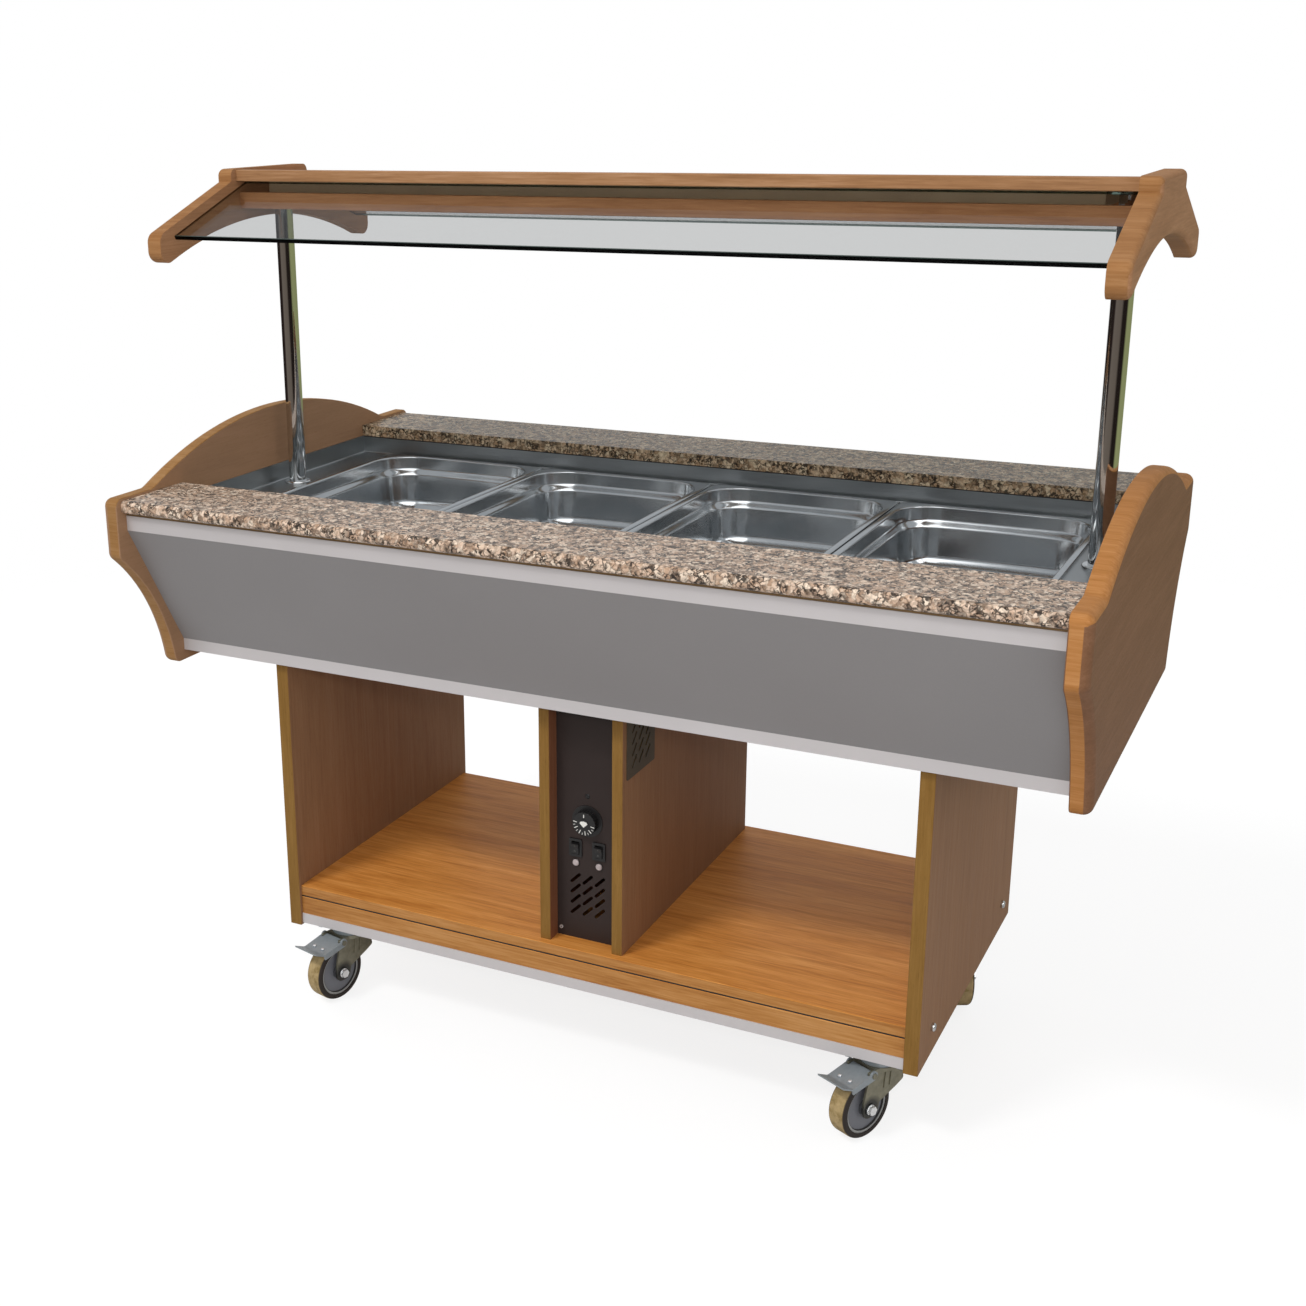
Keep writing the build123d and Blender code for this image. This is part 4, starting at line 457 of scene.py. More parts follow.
# %% [markdown]
# ## Canopy lamp
# A long fitting fills the space under the canopy roof: an olive-brown sheet housing with an opal diffuser
# below. Both are one node, so the finish changes at the height where the diffuser starts.

# %% canopy lamp
DIFFUSER_DROP = 0.006


def lamp_fitting(name):
    """Painted housing above, opal diffuser with fine prisms below."""
    material, tree = blank(name)
    place = add(tree, "SeparateXYZ", add(tree, "TexCoord").outputs["Object"])
    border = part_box("canopy_lamp")[0].z + DIFFUSER_DROP
    housed = add(tree, "Math", place.outputs["Z"], border, operation="GREATER_THAN")
    cloud = mottle(tree, 60, 60, 60, Detail=3.0)
    paint = add(tree, "ValToRGB", cloud, stops=((0.3, "#B39D7E"), (0.7, "#BFA988")))
    opal = add(tree, "ValToRGB", cloud, stops=((0.3, "#DEDDD8"), (0.7, "#E8E7E2")))
    colour = add(tree, "Mix", housed, opal, paint, data_type="RGBA")
    prisms = mottle(tree, 3, 200, 200, Detail=0.0)
    relief = add(tree, "Bump", Height=prisms, Distance=0.0003, Strength=0.3)
    shader = add(tree, "BsdfPrincipled", Base_Color=colour, Roughness=0.45, Normal=relief)
    add(tree, "OutputMaterial", shader)
    return material


lamp_finish = lamp_fitting("painted_housing_and_opal")
print(lamp_finish.name, "with a diffuser of", DIFFUSER_DROP, "m")

# %% [markdown]
# ## Castor finishes
# A castor wheel has an ochre polyurethane tread, a dark sidewall, a pale plastic rim and a blue-grey web,
# and its zinc fork holds a nut painted near white as a highlight on a dark washer, with painted shade round
# the axle. These zones are rings round the axle, so the material measures the distance along the axle and
# out from it. The axle's place and direction come from the wheel's joint.

# %% axles
CORNERS = ("front_left", "front_right", "rear_left", "rear_right")


def from_axle(tree, corner):
    """Distance from the wheel's middle along the axle, and distance out from the axle, in metres."""
    joint = joints["wheel_spin_" + corner]
    where = add(tree, "TexCoord").outputs["Object"]
    offset = add(tree, "VectorMath", where, joint["pos_m"], operation="SUBTRACT")
    signed = add(tree, "VectorMath", offset, joint["axis"], operation="DOT_PRODUCT")
    along = add(tree, "Math", signed, operation="ABSOLUTE")
    line = add(tree, "VectorMath", joint["axis"], signed, operation="SCALE")
    outward = add(tree, "VectorMath", offset, line, operation="SUBTRACT")
    return along, add(tree, "VectorMath", outward, operation="LENGTH")


print("axle heights", [round(joints["wheel_spin_" + corner]["pos_m"][2], 4) for corner in CORNERS])

# %% tyres
SIDEWALL = (0.0123, 0.0138)


def tyre_rubber(corner):
    """Cast polyurethane: scuffed ochre tread and a dark sidewall."""
    material, tree = blank("cast_polyurethane_" + corner)
    along = from_axle(tree, corner)[0]
    scuffs = mottle(tree, 14, 14, 14, Detail=4.0, Roughness=0.65)
    ochre = add(tree, "ValToRGB", scuffs, stops=((0.35, "#877247"), (0.5, "#A48E64"), (0.65, "#B29A6F")))
    side = add(tree, "MapRange", along, *SIDEWALL)
    colour = add(tree, "Mix", side, ochre, srgb("#2E2723"), data_type="RGBA")
    relief = add(tree, "Bump", Height=scuffs, Distance=0.0002, Strength=0.3)
    shader = add(tree, "BsdfPrincipled", Base_Color=colour, Roughness=0.6, Normal=relief,
                 Specular_IOR_Level=0.3)
    add(tree, "OutputMaterial", shader)
    return material


tyres = {corner: tyre_rubber(corner) for corner in CORNERS}
print("tyres", len(tyres), "with sidewalls from", *SIDEWALL, "m")

# %% wheels
BOSS_RADIUS, WEB_RADIUS, WHEEL_REACH = 0.0132, 0.0362, 0.05
RIM_LINE = 0.0012


def wheel_plastic(corner):
    """Moulded polyamide: pale rim, blue-grey web and dark boss."""
    material, tree = blank("moulded_polyamide_" + corner)
    out = from_axle(tree, corner)[1]
    skin = mottle(tree, 1.2, 1.2, 1.2, Detail=3.0)
    reach = add(tree, "MapRange", out, 0.0, WHEEL_REACH)
    zones = ((0.0, "#4A4B4E"), (BOSS_RADIUS / WHEEL_REACH, "#717278"), (WEB_RADIUS / WHEEL_REACH, "#3A3938"),
             ((WEB_RADIUS + RIM_LINE) / WHEEL_REACH, "#9A9A98"))
    colour = add(tree, "ValToRGB", reach, stops=zones, hard=True)
    relief = add(tree, "Bump", Height=skin, Distance=0.00004, Strength=0.4)
    shader = add(tree, "BsdfPrincipled", Base_Color=colour, Roughness=0.45, Normal=relief)
    add(tree, "OutputMaterial", shader)
    return material


wheels = {corner: wheel_plastic(corner) for corner in CORNERS}
print("wheels", len(wheels), "with a web out to", WEB_RADIUS, "m")

# %% forks
NUT_RADIUS, WASHER_RADIUS, FORK_HALF = 0.0080, 0.0102, 0.0222
# Inner and outer reach of the painted shade round the axle, in metres.
SHADE_REACH = (0.014, 0.024)


def fork_zinc(corner):
    """Zinc plated pressing, olive with age, with painted shade round the axle and a nut painted near white as
    a highlight, on a dark washer.
    """
    material, tree = blank("aged_zinc_" + corner)
    along, out = from_axle(tree, corner)
    cloud = mottle(tree, 9, 9, 9, Detail=4.0, Roughness=0.6)
    plate = add(tree, "ValToRGB", cloud, stops=((0.3, "#837F6E"), (0.7, "#9A9683")))
    proud = add(tree, "Math", along, FORK_HALF, operation="GREATER_THAN")
    washer = add(tree, "Math", out, WASHER_RADIUS, operation="LESS_THAN")
    nut = add(tree, "Math", out, NUT_RADIUS, operation="LESS_THAN")
    on_washer = add(tree, "Math", proud, washer, operation="MULTIPLY")
    nut_glint = add(tree, "Math", proud, nut, operation="MULTIPLY")
    # Painted shade, darkest near the axle and gone at the outer reach.
    axle_shade = add(tree, "MapRange", out, *SHADE_REACH, 0.9, 0.0)
    foot = add(tree, "Mix", axle_shade, plate, srgb("#3C3C3C"), data_type="RGBA")
    dull = add(tree, "Mix", on_washer, foot, srgb("#3E3F40"), data_type="RGBA")
    # The nut's near-white colour is a painted highlight.
    colour = add(tree, "Mix", nut_glint, dull, srgb("#F4F4F4"), data_type="RGBA")
    gloss = add(tree, "MapRange", cloud, 0.3, 0.7, 0.36, 0.5)
    relief = add(tree, "Bump", Height=cloud, Distance=0.00006, Strength=0.3)
    shader = add(tree, "BsdfPrincipled", Base_Color=colour, Metallic=0.75, Roughness=gloss, Normal=relief)
    add(tree, "OutputMaterial", shader)
    return material


forks = {corner: fork_zinc(corner) for corner in CORNERS}
print("forks", len(forks), "with nuts of", NUT_RADIUS, "m")

# %% [markdown]
# ## Materials on the parts
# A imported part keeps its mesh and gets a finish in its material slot. The table reads like a finish
# schedule: each material, then the parts that leave the workshop with it.

# %% assign
USES = {
    shelf_beech: ("base_shelf", "plinth_rails"),
    canopy_beech: ("canopy_board",),
    fascia_beech_painted_shade: ("canopy_fascias",),
    end_board: ("end_panel_right",),
    end_board_painted_light: ("end_panel_left",),
    bracket_board: ("canopy_bracket_left", "canopy_bracket_right"),
    leg_board: ("leg_panel_left", "leg_panel_right", "column_panel_right", "tub_floor"),
    column_board_painted_shade: ("column_panel_left",),
    spruce: ("granite_bearers", "column_cleats"),
    valance_grey: ("valance_front", "valance_rear"),
    front_stone: ("granite_front",),
    rear_stone_painted_shade: ("granite_rear",),
    pane_glass: ("glass_front", "glass_rear"),
    deck_steel: ("well_tank", "pan_bars"),
    pan_steel: ("pan_1", "pan_2", "pan_3", "pan_4"),
    chrome: ("canopy_posts", "leg_bolts"),
    plated: ("assembly_screws",),
    aluminium: ("trim_strips",),
    zinc: ("castor_plates", "brake_pedal_front_left", "brake_pedal_front_right"),
    brass: ("drain_pipe",),
    oxide_steel: ("heating_element",),
    panel_paint: ("control_panel", "column_back_panel"),
    grille_paint: ("side_grille",),
    black_plastic: ("thermostat_body", "thermostat_knob", "switch_housings", "rocker_heat", "rocker_light",
                    "cable_gland"),
    lever_paint: ("drain_lever",),
    lens_plastic: ("pilot_lamps",),
    lamp_finish: ("canopy_lamp",),
}
for corner in CORNERS:
    USES[forks[corner]] = ("castor_fork_" + corner,)
    USES[wheels[corner]] = ("castor_wheel_" + corner,)
    USES[tyres[corner]] = ("castor_tyre_" + corner,)
dressed = set()
for material, names in USES.items():
    for name in names:
        mesh = nodes[name].data
        mesh.materials.clear()
        mesh.materials.append(material)
        dressed.add(name)
print("undressed", sorted(set(nodes) - dressed))

# %% [markdown]
# ## Small pieces
# Prints and seals are real things with thickness, so each is a thin mesh seated on its part, and so are
# the painted shade of the screw recesses and the painted shadow under the shelf; each rides on the body
# that carries it. A print made only of shading would vanish from the exported mesh.

# %% mesh tools
CREASE = math.radians(40)


def piece(name, build, material, slot, body, *which):
    """Make a mesh piece from a function that fills a bmesh, and let it ride on a body.

    Which says what the function is about, where it makes more than one piece.
    """
    grid = bmesh.new()
    build(grid, *which)
    bmesh.ops.recalc_face_normals(grid, faces=grid.faces)
    mesh = bpy.data.meshes.new(name)
    grid.to_mesh(mesh)
    grid.free()
    mesh.shade_smooth()
    mesh.set_sharp_from_angle(angle=CREASE)
    mesh.materials.append(material)
    made = bpy.data.objects.new(name, mesh)
    bpy.context.collection.objects.link(made)
    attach(made, body)
    return made


print("edges sharper than", round(math.degrees(CREASE)), "degrees stay sharp")


# %% forms
def join(grid, one, two):
    """Faces between two loops of points. A loop of one point closes the form in a tip."""
    count = max(len(one), len(two))
    for i in range(count):
        j = (i + 1) % count
        corners = (one[i % len(one)], one[j % len(one)], two[j % len(two)], two[i % len(two)])
        grid.faces.new(list(dict.fromkeys(corners)))


def slab(grid, outline, lift):
    """A thin slab over an outline of points, raised by a vector."""
    low = [grid.verts.new(point) for point in outline]
    high = [grid.verts.new(Vector(point) + Vector(lift)) for point in outline]
    grid.faces.new(low)
    grid.faces.new(high)
    join(grid, low, high)


def turned(grid, profile, place, sides=24):
    """A turned piece: points of (radius, height) spun round the Z axis of a placement matrix."""
    loops = []
    for radius, height in profile:
        turns = [2 * math.pi * i / sides for i in range(sides)] if radius else [0.0]
        loops.append([grid.verts.new(place @ Vector((radius * math.cos(a), radius * math.sin(a), height)))
                      for a in turns])
    for one, two in zip(loops, loops[1:]):
        join(grid, one, two)


def facing(place, direction):
    """A placement matrix at a point, with its Z axis along a direction."""
    return Matrix.Translation(place) @ Vector(direction).to_track_quat("Z", "Y").to_matrix().to_4x4()


print("forms: slab, turned and joined loops")

# %% [markdown]
# ## Food pans
# A food pan is deep drawn from one steel sheet. The press leaves a rim that rolls over the well's edge, a
# soft S-bend that lets pans stack, and a wide round into the floor, and these bends are what catch the
# light. The solid model has them only in their simplest form. Here each pan is lofted ring by ring from a
# profile of inset and height in millimetres, and the same profile moved by the sheet's thickness gives the
# underside. A drawn pan's sides spring out a little in their middle, so each ring's sides are bowed, which
# curves what they mirror. Bending a subdivided box would be quicker, but a profile keeps the real sizes.

# %% pan profile
# Millimetres, apart from the draft. The shoulder is its top, its bottom and how far it steps in.
SHEET = 1.2
DRAFT = 0.06
WALL_INSET, LIP_ROUND, ROLL_ROUND, RIM_DROP = 11, 3, 2, 6
FLOOR_ROUND, FLOOR_STEPS = 24, 8
SHOULDER, SHOULDER_STEPS = (21, 35, 6.2), 8


def bend(hub, radius, start, end, steps):
    """Points on an arc round a hub, from one angle in degrees to another."""
    turns = [math.radians(start + (end - start) * i / steps) for i in range(steps + 1)]
    return [(hub[0] + radius * math.cos(a), hub[1] + radius * math.sin(a)) for a in turns]


def pan_profile(depth):
    """Inset and height of the upper face, from the floor out to the rim's edge."""
    top, bottom, step = SHOULDER
    foot = WALL_INSET + DRAFT * depth + step
    points = bend((foot + FLOOR_ROUND, FLOOR_ROUND - depth), FLOOR_ROUND, 270, 184, FLOOR_STEPS)
    for i in range(SHOULDER_STEPS + 1):
        share = 1 - i / SHOULDER_STEPS
        fall = top + (bottom - top) * share
        points.append((WALL_INSET + DRAFT * fall + step * share * share * (3 - 2 * share), -fall))
    lip = bend((WALL_INSET - LIP_ROUND, -LIP_ROUND), LIP_ROUND, 0, 90, 5)
    roll = bend((ROLL_ROUND, -ROLL_ROUND), ROLL_ROUND, 90, 180, 4)
    return points + lip + roll + [(0, -RIM_DROP)]


print("points in a profile 100 mm deep", len(pan_profile(100)))

# %% pans
RIM_CORNER, BOWL_CORNER, RIM_WIDTH = 16, 73, 5
CORNER_STEPS = 10
BOW, BOW_DEPTH, BOW_STEPS = 2.5, 40, 8


def pan_ring(grid, middle, half, inset, height):
    """A rounded rectangle of points, drawn in by an inset, with sides that bow out as the pan gets deeper."""
    corner = RIM_CORNER - inset if inset < RIM_WIDTH else BOWL_CORNER - inset
    bow = BOW * min(max(-height, 0) / BOW_DEPTH, 1)
    arcs = []
    for turn, (x, y) in enumerate(((1, 1), (-1, 1), (-1, -1), (1, -1))):
        hub = middle + Vector((x * (half.x - inset - corner), y * (half.y - inset - corner), height))
        arc = bend((hub.x, hub.y), corner, 90 * turn, 90 * turn + 90, CORNER_STEPS)
        arcs.append([Vector((*point, hub.z)) for point in arc])
    ring = []
    for arc, after, out in zip(arcs, arcs[1:] + arcs[:1], ((0, 1, 0), (-1, 0, 0), (0, -1, 0), (1, 0, 0))):
        ring += arc
        for step in range(1, BOW_STEPS):
            share = step / BOW_STEPS
            ring.append(arc[-1].lerp(after[0], share) + Vector(out) * bow * 4 * share * (1 - share))
    return [grid.verts.new(point / 1000) for point in ring]


def pan_shell(grid, pan):
    """The pan's upper face, then its underside, as one closed skin."""
    low, high = (corner * 1000 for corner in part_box(pan))
    middle = Vector(((low.x + high.x) / 2, (low.y + high.y) / 2, high.z))
    half = (high - low) / 2
    upper = pan_profile(high.z - low.z - SHEET)
    under = []
    for i, (inset, height) in enumerate(upper):
        before, after = upper[max(i - 1, 0)], upper[min(i + 1, len(upper) - 1)]
        way = Vector((after[0] - before[0], after[1] - before[1])).normalized()
        under.append((inset - SHEET * way.y, height + SHEET * way.x))
    rings = [pan_ring(grid, middle, half, *point) for point in upper + under[::-1]]
    for one, two in zip(rings, rings[1:]):
        join(grid, one, two)
    grid.faces.new(rings[0])
    grid.faces.new(rings[-1])


for pan in ("pan_1", "pan_2", "pan_3", "pan_4"):
    drawn = piece("drawn_" + pan, pan_shell, pan_steel, "stainless", pan, pan)
    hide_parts(pan)
    print(drawn.name, len(drawn.data.polygons), "faces")

# %% [markdown]
# ## Dial
# The knob's flat face carries a printed scale round its lower half, with a tick at each half step, a
# pointer line at the top and a wedge on the low boss in its middle. The ticks are a loop over angles.

# %% dial scale
knob_low, knob_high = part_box("thermostat_knob")
DIAL_X = (knob_low.x + knob_high.x) / 2
DIAL_Z = (knob_low.z + knob_high.z) / 2
BOSS_HEIGHT = 0.0008
BOSS_FACE = knob_low.y
DRUM_FACE = BOSS_FACE + BOSS_HEIGHT
PRINT = 0.00012
TICKS = 11
TICK_START, TICK_END = 172, 350
TICK_OUTER, TICK_TAPER = 0.0184, 0.7
LONG_TICK, SHORT_TICK = (0.0118, 2.8), (0.0148, 1.6)


def dial_point(radius, degrees, y):
    """A point on the dial, with its angle measured from the right, anticlockwise to someone in front."""
    angle = math.radians(degrees)
    return (DIAL_X + radius * math.cos(angle), y, DIAL_Z + radius * math.sin(angle))


def dial_scale(grid):
    """Long and short ticks in turn round the drum's lower half."""
    for step in range(TICKS):
        degrees = TICK_START + (TICK_END - TICK_START) * step / (TICKS - 1)
        inner, half = SHORT_TICK if step % 2 else LONG_TICK
        tip = half * TICK_TAPER
        corners = ((inner, -half), (TICK_OUTER, -tip), (TICK_OUTER, tip), (inner, half))
        outline = [dial_point(radius, degrees + side, DRUM_FACE) for radius, side in corners]
        slab(grid, outline, (0, -PRINT, 0))


piece("dial_scale", dial_scale, white_print, "pilot_lens", "knob")
print("dial ticks", TICKS)

# %% dial pointer
POINTER_LINE = ((-0.0007, 0.0105), (0.0007, 0.0105), (0.0007, 0.0160), (-0.0007, 0.0160))
POINTER_WEDGE = ((0.0, -0.0056), (0.0068, 0.0012), (0.0048, 0.0038), (0.0, 0.0050), (-0.0048, 0.0038),
                 (-0.0068, 0.0012))


def dial_pointer(grid):
    """A line at the top of the drum and a wedge on the boss."""
    for shape, face in ((POINTER_LINE, DRUM_FACE), (POINTER_WEDGE, BOSS_FACE)):
        slab(grid, [(DIAL_X + x, face, DIAL_Z + z) for x, z in shape], (0, -PRINT, 0))


piece("dial_pointer", dial_pointer, white_print, "pilot_lens", "knob")
print("pointer", PRINT, "m proud")

# %% [markdown]
# ## Shadow gap, lamp rims and seals
# A dark line parts the shelf from the plinth rails. It is painted shadow: a dark strip a little back in the
# gap. Each pilot lens has a thin black rim, and the stone shelves are bedded on black silicone that shows as
# a dark line along the well. The painted shadow is a plain strip, the rims are rings swept from a small
# round section, and the bead is a hollow-faced strip.

# %% shadow gap
shelf_low, shelf_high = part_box("base_shelf")
REVEAL, GAP_PLAY = 0.002, 0.0001
GAP_SETBACK, GAP_DEPTH = 0.0004, 0.004


def shadow_gap(grid):
    """Painted shadow: a dark strip in the gap between the shelf and the rail under it, front and rear."""
    low, high = shelf_low.z - REVEAL + GAP_PLAY, shelf_low.z - GAP_PLAY
    left, right = shelf_low.x, shelf_high.x
    for side in (-1, 1):
        face = side * (shelf_high.y - GAP_SETBACK)
        outline = ((left, face, low), (right, face, low), (right, face, high), (left, face, high))
        slab(grid, outline, (0, -side * GAP_DEPTH, 0))


# The strip in the gap is painted shadow.
piece("shadow_gap", shadow_gap, seal_and_painted_shadow, "black_plastic", "counter")
print("gap under the shelf", REVEAL, "m")


# %% pilot rims
def ring(grid, centre, radius, section, sides=32, round_sides=10):
    """A ring round the Y axis with a round section."""
    loops = []
    for i in range(sides):
        a = 2 * math.pi * i / sides
        loop = []
        for j in range(round_sides):
            b = 2 * math.pi * j / round_sides
            reach = radius + section * math.cos(b)
            out = Vector((reach * math.cos(a), section * math.sin(b), reach * math.sin(a)))
            loop.append(grid.verts.new(Vector(centre) + out))
        loops.append(loop)
    for one, two in zip(loops, loops[1:] + loops[:1]):
        join(grid, one, two)


pilot_low, pilot_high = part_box("pilot_lamps")
PANEL_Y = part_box("control_panel")[0].y
PILOT_RADIUS = (pilot_high.z - pilot_low.z) / 2
PILOT_Z = (pilot_high.z + pilot_low.z) / 2
RIM_SECTION, RIM_PLAY, RIM_PROUD = 0.0007, 0.0004, 0.0005


def pilot_rims(grid):
    """A rim round each pilot lens."""
    for x in (pilot_low.x + PILOT_RADIUS, pilot_high.x - PILOT_RADIUS):
        ring(grid, (x, PANEL_Y - RIM_PROUD, PILOT_Z), PILOT_RADIUS + RIM_PLAY, RIM_SECTION)


piece("pilot_rims", pilot_rims, black_plastic, "black_plastic", "counter")
print("pilot lens radius", round(PILOT_RADIUS, 4), "m")

# %% stone seal
stone_low, stone_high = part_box("granite_rear")
SEAL, SEAL_LAP = 0.002, 0.001
SEAL_STEPS = 5


def stone_seal(grid):
    """A hollow-faced bead under the inner lower edge of each stone."""
    for side in (-1, 1):
        corner = Vector((stone_low.x, side * (stone_low.y + SEAL_LAP), stone_low.z))
        outline = [corner]
        for step in range(SEAL_STEPS + 1):
            a = math.pi / 2 * step / SEAL_STEPS
            outline.append(corner + Vector((0, -side * SEAL * (1 - math.sin(a)), -SEAL * (1 - math.cos(a)))))
        slab(grid, outline, (stone_high.x - stone_low.x, 0, 0))


piece("stone_seal", stone_seal, seal_and_painted_shadow, "black_plastic", "counter")
print("bead of", SEAL, "m, and", round(stone_high.x - stone_low.x, 3), "m long")

# %% [markdown]
# ## Screws, rivets and switch marks
# Small hardware tells the eye how a thing was put together. Each panel screw has a cross recess, drawn as
# a thin dark cross of painted shade on its head, a rivet holds the thermostat to the panel, the pedal
# rivets have plated heads painted near white as a highlight, and the rockers carry the usual line and ring
# for on and off. Their exact seats needn't be worked out: a ray sent at the part finds its surface.

# %% screw recesses
OUTSIDE = 0.4
MARK = 0.00008
SCREW_X, SCREW_ROWS = 0.046, (0.211, 0.584)
CROSS = ((4, 1), (1, 1), (1, 4), (-1, 4), (-1, 1), (-4, 1),
         (-4, -1), (-1, -1), (-1, -4), (1, -4), (1, -1), (4, -1))
CROSS_UNIT = 0.00042


def seat(node, start, way):
    """Where a ray from a point first meets a part, and the way that the surface looks there."""
    found, place, normal, _ = nodes[node].ray_cast(Vector(start), Vector(way))
    assert found, (node, tuple(start))
    return place, normal


def cross_recess_shade(grid):
    """Painted shade: a dark cross in the middle of each panel screw's head, front and rear, for its recess."""
    for side in (-1, 1):
        for x in (-SCREW_X, SCREW_X):
            for z in SCREW_ROWS:
                place, normal = seat("assembly_screws", (x, side * OUTSIDE, z), (0, -side, 0))
                outline = [place + Vector((a * CROSS_UNIT, 0, b * CROSS_UNIT)) for a, b in CROSS]
                slab(grid, outline, normal * MARK)


# Each cross is painted shade standing for the recess.
piece("cross_recess_shade", cross_recess_shade, painted_recess_shade, "panel_black", "counter")
print("screw recesses", 4 * len(SCREW_ROWS))

# %% panel rivet
PANEL_RIVET = (0.0, -OUTSIDE, 0.4435)
PANEL_HEAD = (0.0042, 0.0016)


def rivet(grid, node, start, way, radius, rise):
    """A low domed head where a ray meets a part."""
    dome = [(radius * math.cos(a), rise * math.sin(a)) for a in (0.0, 0.3, 0.6, 0.9, 1.2)]
    turned(grid, [(0, 0)] + dome + [(0, rise)], facing(*seat(node, start, way)))


def panel_rivet(grid):
    """A rivet above the knob."""
    rivet(grid, "control_panel", PANEL_RIVET, (0, 1, 0), *PANEL_HEAD)


piece("panel_rivet", panel_rivet, black_plastic, "panel_black", "counter")
print("panel rivet radius", PANEL_HEAD[0], "m")

# %% switch marks
LINE_HALF, LINE_RISE = 0.0004, 0.0013
RING_INNER, RING_OUTER = 0.0009, 0.0014
MARK_SHARE = 0.55


def rocker_marks(grid, rocker):
    """A line on the upper half of a rocker and a ring on its lower half."""
    low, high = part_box(rocker)
    x, z, reach = (low.x + high.x) / 2, (low.z + high.z) / 2, (high.z - low.z) / 2
    place, normal = seat(rocker, (x, -OUTSIDE, z + reach * MARK_SHARE), (0, 1, 0))
    up = normal.cross(Vector((1, 0, 0)))
    up = up if up.z > 0 else -up
    line = ((-LINE_HALF, -LINE_RISE), (LINE_HALF, -LINE_RISE), (LINE_HALF, LINE_RISE), (-LINE_HALF, LINE_RISE))
    slab(grid, [place + Vector((a, 0, 0)) + up * b for a, b in line], normal * MARK)
    place, normal = seat(rocker, (x, -OUTSIDE, z - reach * MARK_SHARE), (0, 1, 0))
    profile = ((RING_INNER, 0), (RING_INNER, MARK), (RING_OUTER, MARK), (RING_OUTER, 0), (RING_INNER, 0))
    turned(grid, profile, facing(place, normal))


for rocker in ("rocker_heat", "rocker_light"):
    piece(rocker + "_marks", rocker_marks, grey_print, "pilot_lens", rocker, rocker)
print("switch marks", MARK, "m proud")

# %% pedal rivets
PEDAL_AHEAD, PEDAL_APART, PEDAL_OVER = 0.0355, 0.010, 0.03
PEDAL_HEAD = (0.0029, 0.0012)


def pedal_rivets(grid, corner):
    """Two bright heads on the pedal's plate."""
    joint = joints["brake_" + corner]
    across = Vector(joint["axis"])
    ahead = across.cross(Vector((0, 0, 1)))
    for side in (-PEDAL_APART, PEDAL_APART):
        over = Vector(joint["pos_m"]) + ahead * PEDAL_AHEAD + across * side + Vector((0, 0, PEDAL_OVER))
        rivet(grid, "brake_pedal_" + corner, over, (0, 0, -1), *PEDAL_HEAD)


# The pedal rivets' near-white heads are partly a painted highlight.
for corner in CORNERS[:2]:
    piece("pedal_rivets_" + corner, pedal_rivets, plated, "castor_zinc", "pedal_" + corner, corner)
print("pedal rivets at", CORNERS[:2])

# %% [markdown]
# ## Ground arris and lever grip
# The free edge of each pane is ground, which leaves a narrow dark line along its top face. The drain lever
# ends in a dipped vinyl grip. The lines are thin strips, and the grip is a row of oval rings, pinched at
# both ends.

# %% ground arris
ARRIS, ARRIS_PROUD = 0.0026, 0.0002


def pane_arris(grid):
    """A strip along the top face of each pane, at its low edge."""
    for name, side in (("glass_front", -1), ("glass_rear", 1)):
        corners = [vertex.co for vertex in nodes[name].data.vertices]
        low = max(corners, key=lambda point: (round(side * point.y, 5), point.x))
        high = max(corners, key=lambda point: (round(point.z, 5), point.x))
        up_slope = Vector((0, high.y - low.y, high.z - low.z)).normalized()
        normal = up_slope.cross(Vector((1, 0, 0)))
        normal = normal if normal.z > 0 else -normal
        left = Vector((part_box(name)[0].x, low.y, low.z))
        right = Vector((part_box(name)[1].x, low.y, low.z))
        outline = (left, right, right + up_slope * ARRIS, left + up_slope * ARRIS)
        slab(grid, outline, normal * ARRIS_PROUD)


piece("pane_arris", pane_arris, glass_edge, "clear_glass", "counter")
print("arris", ARRIS, "m wide")

# %% lever grip
lever_low, lever_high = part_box("drain_lever")
GRIP_WALL = 0.0012
GRIP_LENGTH, GRIP_MIDDLE = 0.042, 0.02
GRIP_RINGS = ((0.0, 0.93), (0.002, 1.0), (0.010, 1.0), (0.028, 1.0), (0.036, 0.97), (0.041, 0.85), (1.0, 0.6))
GRIP_SIDES, GRIP_POWER = 28, 0.45
BEYOND = 0.1


def squarish(share):
    """A cosine or sine drawn out, so that a round section nears a rounded square."""
    return math.copysign(abs(share) ** GRIP_POWER, share)


